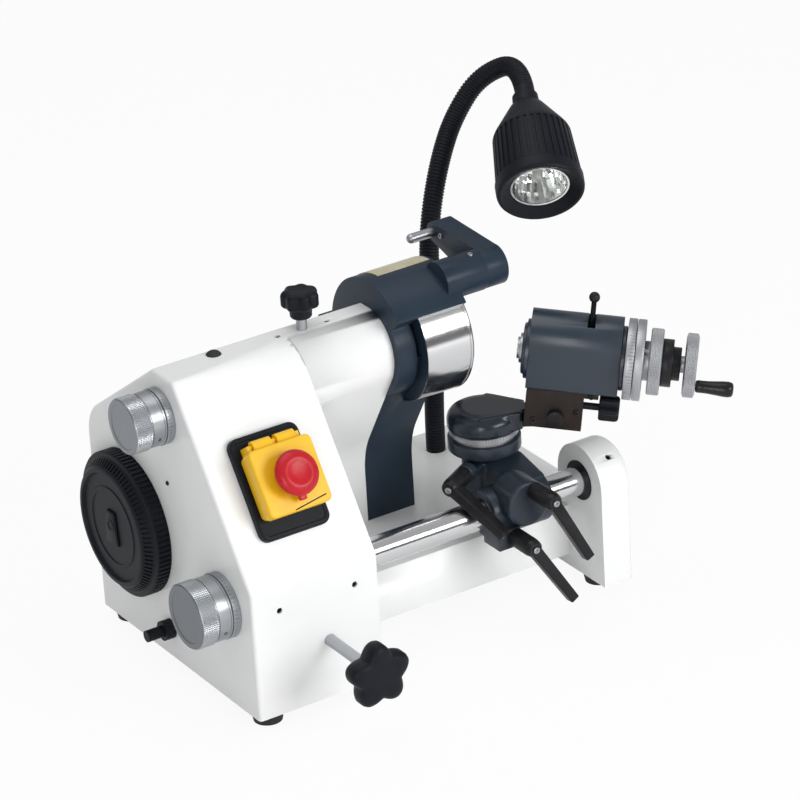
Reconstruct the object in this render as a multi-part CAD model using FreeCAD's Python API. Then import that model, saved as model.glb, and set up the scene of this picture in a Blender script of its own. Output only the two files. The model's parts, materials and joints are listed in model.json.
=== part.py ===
import FreeCAD, Part
import math
import os
from FreeCAD import Placement, Rotation, Vector

os.makedirs("parts", exist_ok=True)

# Bench universal cutter grinder, in millimetres.
# X runs along the guide bar from the left end, Y to the back, Z up from the bench.

# Fits shared by several pieces
running_gap = 0.05
face_gap = 0.3
seat_gap = 0.02

# Feet
foot_height = 10.0
foot_radius = 14.0
foot_inset = 17.0
foot_screw_radius = 3.0
foot_screw_head_radius = 6.0
foot_screw_head_height = 4.0
foot_screw_length = 14.0
foot_pad_height = 16.0

# Base casting
block_length = 118.0
casting_length = 380.0
casting_depth = 256.0
casting_wall = 6.0
front_height = 114.0
top_height = 264.5
top_front_y = 102.0
top_back_y = 136.0
back_height = 182.0
back_corner_radius = 38.0
edge_radius = 5.0
end_edge_radius = 3.0
bed_front_y = 63.0
bed_height = 58.0
bed_lift = 12.0
pedestal_thickness = 32.0
pedestal_radius = 32.0
pedestal_rounding = 9.0
column_x = 200.0
web_front_y = 146.0
web_arc_height = 104.0
web_arc_radius = 70.0
scoop_rounding = 26.0

# Grinding spindle
spindle_y = 124.0
nose_radius = 36.0
quill_radius = 22.0
quill_bore_radius = 17.0
quill_left_x = 152.0
quill_right_x = 222.0
quill_travel = 2.0
housing_left_x = 148.0
bearing_width = 10.0
shaft_radius = 8.0
shaft_left_x = 92.0
shaft_tail_depth = 14.0
flange_radius = 18.0
flange_thickness = 6.0

# Wheel and its head
wheel_radius = 50.0
wheel_left_x = 230.0
wheel_right_x = 268.0
wheel_rim_width = 12.0
wheel_web = 11.0
nut_radius = 20.0
nut_thickness = 6.0
nut_hex = 11.0
nut_hex_height = 8.0
ring_wall = 1.5
ring_gap = 2.5
ring_left_x = 222.0
ring_right_x = 267.0
column_width = 47.0
column_back_y = 206.0
column_radius = 43.0
band_width = 18.0
back_plate_gap = 1.5
arch_radius = 60.0
hood_left_x = 209.0
hood_right_x = 266.0
hood_front_angle = 141.0
hood_back_angle = -25.0

# Motor and drive
motor_back = 67.5
motor_height = 107.0
motor_radius = 50.0
motor_right_x = 100.0
motor_shaft_radius = 7.0
motor_pulley_radius = 24.0
spindle_pulley_radius = 13.0
pulley_left_x = 121.0
pulley_width = 22.0
belt_thickness = 3.0
belt_width = 14.0
cap_radius = 63.0
cap_rim_depth = 13.0
cap_face_radius = 47.0
cap_depth = 22.0
cap_wall = 2.5
cap_rib_count = 40
cap_rib_width = 3.4
cap_rib_depth = 2.0
cap_boss_width = 20.0
cap_boss_height = 34.0
cap_boss_depth = 3.0

# Guide bar and its feed
bar_y = 44.4
bar_height = 89.5
bar_radius = 12.5
bar_left_x = 30.0
bar_right_x = 370.0
bar_travel = 6.0
bush_radius = 17.5
bush_flange = 1.0

# Feed knobs
knob_length = 36.0
zero_ring_width = 7.0
knurl_width = 14.0
knob_gap = 0.4
upper_knob_radius = 24.0
lower_knob_radius = 28.0
knurl_count = 60
knurl_depth = 0.5
feed_screw_radius = 5.0
upper_screw_right_x = 98.0
lower_screw_right_x = 78.0
bar_bore_depth = 62.0

# Lock knobs
top_lock_x = 136.0
top_rod_radius = 4.5
top_rod_height = 11.0
top_skirt_radius = 9.5
top_skirt_height = 9.0
top_knob_radius = 16.0
top_knob_height = 15.0
top_lobes = 7
front_lock_x = 70.0
front_lock_height = 52.0
front_rod_radius = 5.0
front_rod_length = 54.0
front_hub_radius = 11.0
front_hub_length = 9.0
front_knob_radius = 28.0
front_knob_thickness = 18.0
front_lobes = 5
stud_depth = 14.0

# Small holes and plugs in the casting
set_screw_radius = 2.6
set_screw_length = 5.0
set_screw_sunk = 1.5
front_screw_x = (25.5, 96.5)
front_screw_height = 93.5
top_screw_offset = 23.5
pedestal_screw_lean = 40.0
plug_x = 54.5
plug_y = 128.0
plug_radius = 6.5
plug_dome = 3.5
gland_y = 138.0
gland_height = 27.0
gland_radius = 8.5
gland_nut_length = 9.0
gland_sleeve_radius = 5.0
gland_sleeve_length = 24.0

# Switch on the sloping face, measured along X and up the slope
switch_x = 57.0
switch_up = 80.0
plate_width = 64.0
plate_length = 87.0
plate_thickness = 7.0
plate_corner = 8.0
housing_width = 54.0
housing_length = 54.0
housing_height = 9.0
cover_width = 58.0
cover_length = 57.0
cover_height = 12.0
cover_wall = 2.5
cover_corner = 5.0
knuckle_radius = 4.5
knuckle_length = 17.0
knuckle_spacing = 22.0
hinge_pin_radius = 1.6
stop_radius = 19.0
stop_height = 16.0
stop_skirt = 7.0
stop_stem_radius = 7.0
stop_travel = 4.0
start_radius = 7.0
start_height = 3.0
start_travel = 2.0
start_up_offset = 16.0

# Lamp
goose_x = 319.0
goose_y = 223.0
goose_radius = 8.6
goose_groove = 1.0
goose_bore_radius = 5.0
goose_ribs = 110
goose_socket = 12.0
shade_length = 104.0
shade_neck_radius = 11.0
shade_neck_length = 12.0
shade_shoulder_radius = 27.0
shade_rim_radius = 37.5
shade_wall = 2.5
shade_ribs = 36
bulb_radius = 25.0
bulb_neck_radius = 14.0
bulb_depth = 34.0
bulb_set_back = 6.0

# Wheel dresser
dresser_forward = 22.0
dresser_up = 50.5
dresser_boss_radius = 17.5
dresser_left_x = 294.0
dresser_width = 20.0
dresser_hub_radius = 17.0
dresser_spigot_radius = 6.0
dresser_reach = 67.0
dresser_rise = 11.0
dresser_end_radius = 8.5
diamond_radius = 4.2
diamond_length = 25.2

# Bracket on the bar and its clamp collar
clamp_left_x = 250.0
clamp_width = 22.0
clamp_radius = 21.0
clamp_ear_front_y = 21.0
clamp_ear_top = 80.0
clamp_ear_bottom = 63.0
sleeve_width = 36.0
sleeve_radius = 22.0
bracket_top = 118.0
bracket_boss_radius = 20.0
bracket_boss_front_y = 14.0
bracket_boss_height = 101.5
bracket_boss_x = 277.0
bar_lever_height = 112.5
bracket_slope_y = 36.0
swivel_x = 284.0
swivel_y = 89.0
eye_radius = 20.0
eye_bottom = 84.0
eye_top = 119.0

# Clamping levers
lever_hub_radius = 8.0
lever_hub_length = 30.0
lever_length = 57.0
lever_lean = 12.0
lever_root_radius = 5.5
lever_tip_radius = 4.3
lever_stud_radius = 4.0
lever_stud_length = 10.0
lever_screw_radius = 3.2
bar_lever_angle = 65.0
split_lever_angle = 60.0
post_lever_angle = 29.0
post_lever_turn = 211.2
split_lever_height = 72.0
split_lever_inset = 5.5
bar_lever_offset = 6.5
post_lever_height = 117.0
post_lever_reach = 41.5

# Swivel under the work head
post_radius = 14.0
swivel_radius = 31.0
swivel_neck_bottom = 119.3
swivel_cone_height = 6.0
swivel_disc_top = 136.0
scale_ring_radius = 29.5
scale_ring_height = 8.0
cap_height = 14.0
cap_rounding = 6.0
lug_width = 16.0
lug_reach = 74.0
lug_top = 172.0

# Work head, measured along its own axis from the swivel axis
head_turn = -38.7
head_rest_tilt = 7.0
head_height = 211.5
head_left = 35.0
head_right = 111.0
head_width = 46.0
head_below = 26.0
head_above = 35.5
head_rounding = 22.8
tilt_along = 62.0
tilt_height = 160.0
tilt_screw_radius = 4.0
tilt_head_radius = 7.0
tilt_head_height = 5.0
tilt_plate_thickness = 10.0
tilt_plate_left = 36.0
tilt_plate_right = 84.0
tilt_plate_bottom = 149.0
tilt_flange_thickness = 6.0
head_spindle_radius = 12.5
head_nose = 27.0
head_spindle_right = 160.5
head_bore_radius = 9.0
collet_bore_radius = 5.0
collet_length = 36.0
index_radius = 34.0
index_ring_left = 114.8
index_ring_right = 122.0
index_plate_left = 122.5
index_plate_right = 129.7
index_hole_count = 24
index_hole_radius = 1.6
index_hole_circle = 28.5
knurled_left = 134.1
knurled_right = 144.7
knurled_radius = 28.0
collar_right = 153.8
collar_radius = 20.0
collar_step_right = 160.5
collar_step_radius = 14.0
drawbar_radius = 7.0
drawbar_bore_radius = 5.1
handwheel_left = 163.3
handwheel_right = 174.0
handwheel_radius = 27.0
handwheel_groove = 1.0
handle_offset = 18.5
handle_length = 32.0
handle_root_radius = 5.2
handle_tip_radius = 6.6
handle_pin_radius = 2.5
index_lever_along = 84.5
index_lever_radius = 2.2
index_ball_radius = 4.6
index_lever_top = 264.2
index_slot_width = 6.5
index_slot_swing = 24.0
index_band_radius = 17.0
thumb_left = 84.0
thumb_height = 171.0
thumb_rod_radius = 3.0
thumb_rod_length = 13.0
thumb_radius = 11.0
thumb_length = 17.0
thumb_lobes = 6

# Places worked out from the sizes above
base_z = foot_height
spindle_z = base_z + top_height - nose_radius
motor_y = casting_depth - motor_back
motor_z = base_z + motor_height
bar_z = base_z + bar_height
bed_top_z = base_z + bed_height
top_z = base_z + top_height
pedestal_x = casting_length - pedestal_thickness
ring_radius = wheel_radius + ring_gap + ring_wall
ring_inner_radius = wheel_radius + ring_gap
dresser_y = spindle_y - dresser_forward
dresser_z = spindle_z + dresser_up
head_z = base_z + head_height
slope_run = top_front_y
slope_rise = top_height - front_height
slope_angle = math.degrees(math.atan2(slope_rise, slope_run))
far = 2000.0


def box(x0, y0, z0, x1, y1, z1):
    return Part.makeBox(x1 - x0, y1 - y0, z1 - z0, Vector(x0, y0, z0))


def rod_x(x0, x1, y, z, radius):
    return Part.makeCylinder(radius, x1 - x0, Vector(x0, y, z), Vector(1, 0, 0))


def rod_y(y0, y1, x, z, radius):
    return Part.makeCylinder(radius, y1 - y0, Vector(x, y0, z), Vector(0, 1, 0))


def rod_z(z0, z1, x, y, radius):
    return Part.makeCylinder(radius, z1 - z0, Vector(x, y, z0), Vector(0, 0, 1))


def cone_x(x0, x1, y, z, r0, r1):
    return Part.makeCone(r0, r1, x1 - x0, Vector(x0, y, z), Vector(1, 0, 0))


def join(first, *others):
    return first.fuse(list(others)).removeSplitter()


def rounded_wire(points, radii):
    """Closed wire through the points, each corner rounded by its own radius."""
    edges = []
    starts = []
    ends = []
    count = len(points)
    for i, corner in enumerate(points):
        before = (points[i - 1] - corner).normalize()
        after = (points[(i + 1) % count] - corner).normalize()
        half = before.getAngle(after) / 2
        trim = radii[i] / math.tan(half)
        starts.append(corner + before * trim)
        ends.append(corner + after * trim)
        if radii[i] > 0:
            middle = (before + after).normalize()
            bulge = corner + middle * (radii[i] / math.sin(half) - radii[i])
            edges.append(Part.Arc(starts[i], bulge, ends[i]).toShape())
    for i in range(count):
        following = starts[(i + 1) % count]
        if (following - ends[i]).Length > 1e-6:
            edges.append(Part.LineSegment(ends[i], following).toShape())
    return Part.Wire(Part.__sortEdges__(edges))


def prism_x(points, radii, x0, x1):
    """Solid whose outline in Y and Z runs along X."""
    wire = rounded_wire([Vector(x0, y, z) for y, z in points], radii)
    return Part.Face(wire).extrude(Vector(x1 - x0, 0, 0))


def prism_z(points, radii, z0, z1):
    """Solid whose outline in X and Y runs along Z."""
    wire = rounded_wire([Vector(x, y, z0) for x, y in points], radii)
    return Part.Face(wire).extrude(Vector(0, 0, z1 - z0))


def plate_z(x, y, width, length, corner, z0, z1):
    """Flat plate with rounded corners about a centre."""
    w = width / 2
    h = length / 2
    points = [(x - w, y - h), (x + w, y - h), (x + w, y + h), (x - w, y + h)]
    return prism_z(points, [corner] * 4, z0, z1)


def sector_x(x0, x1, r0, r1, a0, a1, y, z):
    """Part of a ring about an X axis, between two angles from +Y towards +Z."""
    def at(radius, angle):
        turn = math.radians(angle)
        return Vector(x0, y + radius * math.cos(turn), z + radius * math.sin(turn))
    middle = (a0 + a1) / 2
    edges = [Part.Arc(at(r1, a0), at(r1, middle), at(r1, a1)).toShape(),
             Part.LineSegment(at(r1, a1), at(r0, a1)).toShape(),
             Part.Arc(at(r0, a1), at(r0, middle), at(r0, a0)).toShape(),
             Part.LineSegment(at(r0, a0), at(r1, a0)).toShape()]
    return Part.Face(Part.Wire(edges)).extrude(Vector(x1 - x0, 0, 0))


def revolve_x(profile, y, z):
    """Solid turned about an X axis from (x, radius) points, starting and ending on the axis."""
    points = [Vector(x, y, z + radius) for x, radius in profile]
    wire = Part.makePolygon(points + [points[0]])
    return Part.Face(wire).revolve(Vector(0, y, z), Vector(1, 0, 0), 360)


def lobed(radius, thickness, lobes, lobe_share):
    """Hand knob along Z from the origin: a core with round lobes round it."""
    lobe_radius = radius * lobe_share
    core = Part.makeCylinder(radius - lobe_radius * 0.8, thickness)
    around = []
    for i in range(lobes):
        turn = 2 * math.pi * i / lobes
        reach = radius - lobe_radius
        place = Vector(reach * math.cos(turn), reach * math.sin(turn), 0)
        around.append(Part.makeCylinder(lobe_radius, thickness, place))
    return join(core, *around)


def placed(shape, position, axis, angle):
    shape.Placement = Placement(position, Rotation(axis, angle)).multiply(shape.Placement)
    return shape


# Base casting


def block_outline():
    points = [(0, base_z), (0, base_z + front_height), (top_front_y, top_z), (top_back_y, top_z),
              (casting_depth, base_z + back_height), (casting_depth, base_z)]
    radii = [0, edge_radius, edge_radius, edge_radius, back_corner_radius, 0]
    return points, radii


def web_turn(grow):
    """Angle from +Y at which the web's arc meets its straight run up to the nose."""
    arc_radius = web_arc_radius + grow
    arc = Vector(0, web_front_y + grow - arc_radius, base_z + web_arc_height)
    between = Vector(0, spindle_y, spindle_z) - arc
    lean = math.atan2(between.z, between.y)
    return lean - math.acos((arc_radius + nose_radius - grow) / between.Length)


def rolled_corner(block):
    """Rounds the edge between slope and flat top, slightly at the left end and like the nose beside it."""
    chosen = []
    for edge in block.Edges:
        middle = edge.CenterOfMass
        if abs(middle.y - top_front_y) < 1e-3 and abs(middle.z - top_z) < 1e-3:
            chosen.append(edge)
    widening = (nose_radius - edge_radius) / block_length
    return block.makeFillet(edge_radius, edge_radius + widening * column_x, chosen)


def scoop(grow):
    """Space in front of the necked web, grown by a wall thickness."""
    web_y = web_front_y + grow
    arc_radius = web_arc_radius + grow
    arc = Vector(0, web_y - arc_radius, base_z + web_arc_height)
    turn = web_turn(grow)
    along = Vector(0, math.cos(turn), math.sin(turn))
    leave = arc + along * arc_radius
    rise = Vector(0, -along.z, along.y)
    top = leave + rise * (top_height * 2)
    half = Vector(0, math.cos(turn / 2), math.sin(turn / 2))
    foot = Vector(0, web_y, -far)
    front = Vector(0, -far, -far)
    edges = [Part.LineSegment(foot, Vector(0, web_y, arc.z)).toShape(),
             Part.Arc(Vector(0, web_y, arc.z), arc + half * arc_radius, leave).toShape(),
             Part.LineSegment(leave, top).toShape(),
             Part.LineSegment(top, Vector(0, -far, top.z)).toShape(),
             Part.LineSegment(Vector(0, -far, top.z), front).toShape(),
             Part.LineSegment(front, foot).toShape()]
    start = block_length - grow
    solid = Part.Face(Part.Wire(edges)).extrude(Vector(far, 0, 0))
    solid.translate(Vector(start, 0, 0))
    chosen = []
    for edge in solid.Edges:
        middle = edge.valueAt((edge.FirstParameter + edge.LastParameter) / 2)
        if abs(middle.x - start) < 1e-6 and middle.y > -far / 2 and middle.z < top.z - 1:
            if middle.z > front.z + 1:
                chosen.append(edge)
    return solid.makeFillet(scoop_rounding + grow, chosen)


def pedestal():
    side = pedestal_radius
    top = bar_z
    left = Vector(pedestal_x, bar_y - side, base_z)
    edges = [Part.LineSegment(left, Vector(pedestal_x, bar_y - side, top)).toShape(),
             Part.Arc(Vector(pedestal_x, bar_y - side, top), Vector(pedestal_x, bar_y, top + side),
                      Vector(pedestal_x, bar_y + side, top)).toShape(),
             Part.LineSegment(Vector(pedestal_x, bar_y + side, top),
                              Vector(pedestal_x, bar_y + side, base_z)).toShape(),
             Part.LineSegment(Vector(pedestal_x, bar_y + side, base_z), left).toShape()]
    solid = Part.Face(Part.Wire(edges)).extrude(Vector(pedestal_thickness, 0, 0))
    rounded = []
    for edge in solid.Edges:
        middle = edge.valueAt((edge.FirstParameter + edge.LastParameter) / 2)
        if abs(middle.x - casting_length) < 1e-6 and middle.z > base_z + 1:
            rounded.append(edge)
    solid = solid.makeFillet(pedestal_rounding, rounded)
    leg = box(pedestal_x, bar_y, base_z, casting_length, casting_depth, bed_top_z)
    hollow = box(pedestal_x + casting_wall, bar_y + side, base_z - 1, casting_length - casting_wall,
                 casting_depth - casting_wall, bed_top_z - casting_wall)
    return join(solid, leg).cut(hollow)


def foot_places():
    front_right_y = bar_y
    return [(foot_inset, foot_inset), (foot_inset, casting_depth - foot_inset),
            (casting_length - pedestal_thickness / 2, front_right_y),
            (casting_length - pedestal_thickness / 2, casting_depth - foot_inset)]


def set_screw_places():
    """Mouth of each small screw hole and the way it points out."""
    out = Vector(0, -1, 0)
    up = Vector(0, 0, 1)
    places = [(Vector(x, 0, base_z + front_screw_height), out) for x in front_screw_x]
    for side in (-1, 1):
        places.append((Vector(top_lock_x + side * top_screw_offset, spindle_y, top_z), up))
    lean = math.radians(pedestal_screw_lean)
    tilted = Vector(0, -math.sin(lean), math.cos(lean))
    crown = Vector(pedestal_x + pedestal_thickness / 2, bar_y, bar_z)
    places.append((crown + tilted * pedestal_radius, tilted))
    return places


def base_casting():
    points, radii = block_outline()
    outer_radii = radii[:]
    outer_radii[points.index((top_front_y, top_z))] = 0
    block = rolled_corner(prism_x(points, outer_radii, 0, column_x))
    end_edges = []
    for edge in block.Edges:
        middle = edge.valueAt((edge.FirstParameter + edge.LastParameter) / 2)
        if abs(middle.x) < 1e-6 and middle.z > base_z + 1:
            end_edges.append(edge)
    block = block.makeFillet(end_edge_radius, end_edges)
    touch_z = spindle_z - nose_radius * math.sin(web_turn(0))
    above = box(block_length, -far, touch_z, far, spindle_y, far)
    nose = rod_x(block_length - 1, column_x, spindle_y, spindle_z, nose_radius)
    body = block.cut(scoop(0)).cut(above)
    body = join(body, nose)

    inner_points = Part.Face(rounded_wire([Vector(0, y, z) for y, z in points], radii))
    inner = inner_points.makeOffset2D(-casting_wall)
    room = inner.extrude(Vector(column_x - 2 * casting_wall, 0, 0))
    room.translate(Vector(casting_wall, 0, 0))
    opening = box(casting_wall, casting_wall, base_z - 1, column_x - casting_wall,
                  casting_depth - casting_wall, base_z + casting_wall + edge_radius)
    above_room = box(block_length - casting_wall, -far, touch_z, far, spindle_y, far)
    room = join(room, opening).cut(scoop(casting_wall)).cut(above_room)
    nose_room = rod_x(block_length - casting_wall - 1, housing_left_x, spindle_y, spindle_z,
                      nose_radius - casting_wall)
    body = body.cut(room.cut(rod_x(housing_left_x, far, spindle_y, spindle_z, nose_radius)))
    body = body.cut(nose_room)

    bed = box(column_x - casting_wall, bed_front_y, base_z + bed_lift, pedestal_x, casting_depth, bed_top_z)
    bed_front = box(block_length - 1, bed_front_y, base_z + bed_lift, column_x, web_front_y + 1, bed_top_z)
    bed = join(bed, bed_front)
    bed_room = box(column_x, bed_front_y + casting_wall, base_z - 1, pedestal_x - casting_wall,
                   casting_depth - casting_wall, bed_top_z - casting_wall)
    body = join(body, bed.cut(bed_room), pedestal())
    pads = []
    bosses = []
    for x, y in foot_places():
        pads.append(rod_z(base_z, base_z + foot_pad_height, x, y, foot_radius - 2))
        bosses.append(rod_z(base_z - 1, base_z + foot_pad_height - 2, x, y, foot_screw_radius + seat_gap))
    stud_boss = rod_y(1, stud_depth + casting_wall, front_lock_x, base_z + front_lock_height,
                      front_rod_radius * 2)
    bar_boss = rod_x(block_length - casting_wall * 4, block_length, bar_y, bar_z, bush_radius + casting_wall)
    body = join(body, stud_boss, bar_boss, *pads)

    cuts = bosses
    cuts.append(rod_x(-1, casting_wall + 1, motor_y, motor_z, motor_radius + face_gap))
    for y, z in ((spindle_y, spindle_z), (bar_y, bar_z)):
        cuts.append(rod_x(-1, casting_wall + 1, y, z, feed_screw_radius + running_gap))
    cuts.append(rod_x(housing_left_x - 1, column_x + 1, spindle_y, spindle_z, quill_radius + running_gap))
    cuts.append(rod_x(block_length - casting_wall * 5, block_length + 1, bar_y, bar_z, bush_radius + seat_gap))
    cuts.append(rod_x(pedestal_x - 1, casting_length + 1, bar_y, bar_z, bush_radius + seat_gap))
    cuts.append(rod_y(-1, stud_depth, front_lock_x, base_z + front_lock_height,
                      front_rod_radius + running_gap))
    cuts.append(rod_z(spindle_z + quill_radius - 1, top_z + 1, top_lock_x, spindle_y,
                      top_rod_radius + running_gap))
    cuts.append(rod_z(top_z - casting_wall - 1, top_z + 1, plug_x, plug_y, plug_radius * 0.6))
    cuts.append(rod_x(-1, casting_wall + 1, gland_y, base_z + gland_height, gland_sleeve_radius + seat_gap))
    cuts.append(rod_z(bed_top_z - goose_socket, bed_top_z + 1, goose_x, goose_y, goose_radius + seat_gap))
    for mouth, out in set_screw_places():
        deep = set_screw_sunk + set_screw_length
        cuts.append(Part.makeCylinder(set_screw_radius + seat_gap, deep + 2, mouth - out * deep, out))
    socket = rod_z(bed_top_z - goose_socket - casting_wall, bed_top_z - 1, goose_x, goose_y,
                   goose_radius + casting_wall)
    body = join(body, socket)
    return body.cut(cuts)


def rubber_feet():
    feet = []
    for x, y in foot_places():
        foot = Part.makeCone(foot_radius - 2, foot_radius, foot_height, Vector(x, y, 0))
        hole = rod_z(-1, foot_height + 1, x, y, foot_screw_radius + seat_gap)
        sink = rod_z(-1, foot_screw_head_height, x, y, foot_screw_head_radius + seat_gap)
        feet.append(foot.cut([hole, sink]))
    return Part.makeCompound(feet)


def casting_screws():
    screws = []
    for x, y in foot_places():
        shank = rod_z(1, 1 + foot_screw_length + foot_height / 2, x, y, foot_screw_radius)
        head = rod_z(1, foot_screw_head_height, x, y, foot_screw_head_radius)
        screws.append(join(shank, head))
    for mouth, out in set_screw_places():
        bottom = mouth - out * (set_screw_sunk + set_screw_length)
        body = Part.makeCylinder(set_screw_radius, set_screw_length, bottom, out)
        socket = Part.makeCylinder(set_screw_radius * 0.5, set_screw_length, bottom + out * 2, out)
        screws.append(body.cut(socket))
    return Part.makeCompound(screws)


def hole_plug():
    stem = rod_z(top_z - casting_wall, top_z, plug_x, plug_y, plug_radius * 0.6 - seat_gap)
    ball = (plug_radius * plug_radius + plug_dome * plug_dome) / (2 * plug_dome)
    dome = Part.makeSphere(ball, Vector(plug_x, plug_y, top_z + plug_dome - ball))
    dome = dome.common(rod_z(top_z, top_z + plug_dome + 1, plug_x, plug_y, plug_radius))
    return join(stem, dome)


def cable_gland():
    z = base_z + gland_height
    nut = rod_x(-gland_nut_length, 0, gland_y, z, gland_radius)
    sleeve = rod_x(-gland_sleeve_length, casting_wall, gland_y, z, gland_sleeve_radius)
    return join(nut, sleeve)


# Grinding spindle and wheel


def spindle_quill():
    tube = rod_x(quill_left_x, quill_right_x, spindle_y, spindle_z, quill_radius)
    return tube.cut(rod_x(quill_left_x - 1, quill_right_x + 1, spindle_y, spindle_z, quill_bore_radius))


def spindle_bearings():
    rings = []
    for x in (quill_left_x, quill_right_x - bearing_width):
        ring = rod_x(x, x + bearing_width, spindle_y, spindle_z, quill_bore_radius - seat_gap)
        rings.append(ring.cut(rod_x(x - 1, x + bearing_width + 1, spindle_y, spindle_z,
                                    shaft_radius + running_gap)))
    return Part.makeCompound(rings)


def spindle_shaft():
    right = wheel_left_x + wheel_web + nut_thickness + nut_hex_height
    shaft = rod_x(shaft_left_x, right, spindle_y, spindle_z, shaft_radius)
    flange = rod_x(wheel_left_x - flange_thickness, wheel_left_x, spindle_y, spindle_z, flange_radius)
    tail = rod_x(shaft_left_x - 1, shaft_left_x + shaft_tail_depth, spindle_y, spindle_z,
                 feed_screw_radius + running_gap)
    return join(shaft, flange).cut(tail)


def pulley(y, z, radius, bore):
    drum = rod_x(pulley_left_x, pulley_left_x + pulley_width, y, z, radius)
    return drum.cut(rod_x(pulley_left_x - 1, pulley_left_x + pulley_width + 1, y, z, bore + seat_gap))


def grinding_wheel():
    cup = rod_x(wheel_left_x, wheel_right_x, spindle_y, spindle_z, wheel_radius)
    hollow = rod_x(wheel_left_x + wheel_web, wheel_right_x + 1, spindle_y, spindle_z,
                   wheel_radius - wheel_rim_width)
    bore = rod_x(wheel_left_x - 1, wheel_right_x, spindle_y, spindle_z, shaft_radius + seat_gap)
    return cup.cut([hollow, bore])


def wheel_flange():
    left = wheel_left_x + wheel_web
    disc = rod_x(left, left + nut_thickness, spindle_y, spindle_z, nut_radius)
    corners = []
    for i in range(6):
        turn = math.radians(60 * i)
        corners.append(Vector(left + nut_thickness, spindle_y + nut_hex * math.cos(turn),
                              spindle_z + nut_hex * math.sin(turn)))
    hexagon = Part.Face(Part.makePolygon(corners + [corners[0]])).extrude(Vector(nut_hex_height, 0, 0))
    bore = rod_x(left - 1, left + far, spindle_y, spindle_z, shaft_radius + seat_gap)
    return join(disc, hexagon).cut(bore)


def wheel_guard_ring():
    ring = rod_x(ring_left_x, ring_right_x, spindle_y, spindle_z, ring_radius)
    return ring.cut(rod_x(ring_left_x - 1, ring_right_x + 1, spindle_y, spindle_z, ring_inner_radius))


def wheel_head():
    right = column_x + column_width
    web = box(column_x, -far, bed_top_z, right, column_back_y, spindle_z)
    keep = scoop(0)
    keep.translate(Vector(column_x - block_length - far / 2, 0, 0))
    web = web.cut(keep)
    band = rod_x(column_x, column_x + band_width, spindle_y, spindle_z, column_radius)
    neck = rod_x(column_x, ring_left_x + back_plate_gap, spindle_y, spindle_z, quill_radius + casting_wall * 2)
    disc = rod_x(ring_left_x + back_plate_gap, wheel_left_x - quill_travel - 2 * face_gap, spindle_y,
                 spindle_z, ring_inner_radius - seat_gap)
    arch = sector_x(column_x, column_x + band_width, column_radius - 2, arch_radius, hood_front_angle,
                    hood_back_angle, spindle_y, spindle_z)
    hood = sector_x(hood_left_x, hood_right_x, ring_radius + seat_gap, arch_radius, hood_front_angle,
                    hood_back_angle, spindle_y, spindle_z)
    boss = rod_x(hood_right_x - casting_wall * 2, dresser_left_x, dresser_y, dresser_z, dresser_boss_radius)
    spigot = rod_x(dresser_left_x - 1, dresser_left_x + dresser_width, dresser_y, dresser_z,
                   dresser_spigot_radius)
    wheel_room = rod_x(ring_left_x, wheel_right_x + quill_travel + face_gap, spindle_y, spindle_z,
                       ring_radius + seat_gap)
    body = join(web.cut(wheel_room), boss.cut(wheel_room), spigot, band, neck, arch, hood, disc)
    bore = rod_x(column_x - 1, right, spindle_y, spindle_z, quill_radius + running_gap)
    recess = rod_x(quill_right_x - quill_travel * 2, right, spindle_y, spindle_z, flange_radius + 6)
    return body.cut([bore, recess])


# Motor and belt


def motor_body():
    body = rod_x(0, motor_right_x, motor_y, motor_z, motor_radius)
    return body.cut(rod_x(motor_right_x - bearing_width * 4, motor_right_x + 1, motor_y, motor_z,
                          motor_shaft_radius + running_gap))


def motor_end_cap():
    rim = rod_x(-cap_rim_depth, 0, motor_y, motor_z, cap_radius)
    front = cone_x(-cap_depth, -cap_rim_depth, motor_y, motor_z, cap_face_radius, cap_radius - cap_rib_depth)
    boss = box(-cap_depth - cap_boss_depth, motor_y - cap_boss_width / 2, motor_z - cap_boss_height / 2,
               -cap_depth + 1, motor_y + cap_boss_width / 2, motor_z + cap_boss_height / 2)
    room = rod_x(-cap_depth + cap_wall, 1, motor_y, motor_z, cap_face_radius - cap_wall)
    hole = rod_x(-far, 0, motor_y, motor_z, motor_shaft_radius / 2)
    grooves = []
    for i in range(cap_rib_count):
        groove = box(-cap_rim_depth - 1, -cap_rib_width / 2, cap_radius - cap_rib_depth, -1,
                     cap_rib_width / 2, cap_radius + 1)
        grooves.append(placed(groove, Vector(0, motor_y, motor_z), Vector(1, 0, 0),
                              360.0 * i / cap_rib_count))
    return join(rim, front, boss).cut([room, hole] + grooves)


def motor_shaft():
    return rod_x(motor_right_x - bearing_width * 3, pulley_left_x + pulley_width, motor_y, motor_z,
                 motor_shaft_radius)


def belt_outline(grow):
    """Closed outline round both pulleys, at a distance from their drums."""
    low = Vector(pulley_left_x + (pulley_width - belt_width) / 2, motor_y, motor_z)
    high = Vector(low.x, spindle_y, spindle_z)
    low_r = motor_pulley_radius + grow
    high_r = spindle_pulley_radius + grow
    along = high - low
    lean = math.atan2(along.z, along.y)
    spread = math.acos((low_r - high_r) / along.Length)

    def at(centre, radius, angle):
        return centre + Vector(0, radius * math.cos(angle), radius * math.sin(angle))
    left = lean + spread
    right = lean - spread
    edges = [Part.LineSegment(at(low, low_r, right), at(high, high_r, right)).toShape(),
             Part.Arc(at(high, high_r, right), at(high, high_r, lean), at(high, high_r, left)).toShape(),
             Part.LineSegment(at(high, high_r, left), at(low, low_r, left)).toShape(),
             Part.Arc(at(low, low_r, left), at(low, low_r, lean + math.pi), at(low, low_r, right)).toShape()]
    return Part.Face(Part.Wire(edges))


def drive_belt():
    outer = belt_outline(face_gap + belt_thickness)
    inner = belt_outline(face_gap)
    return outer.cut(inner).extrude(Vector(belt_width, 0, 0))


# Guide bar and feed knobs


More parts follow.
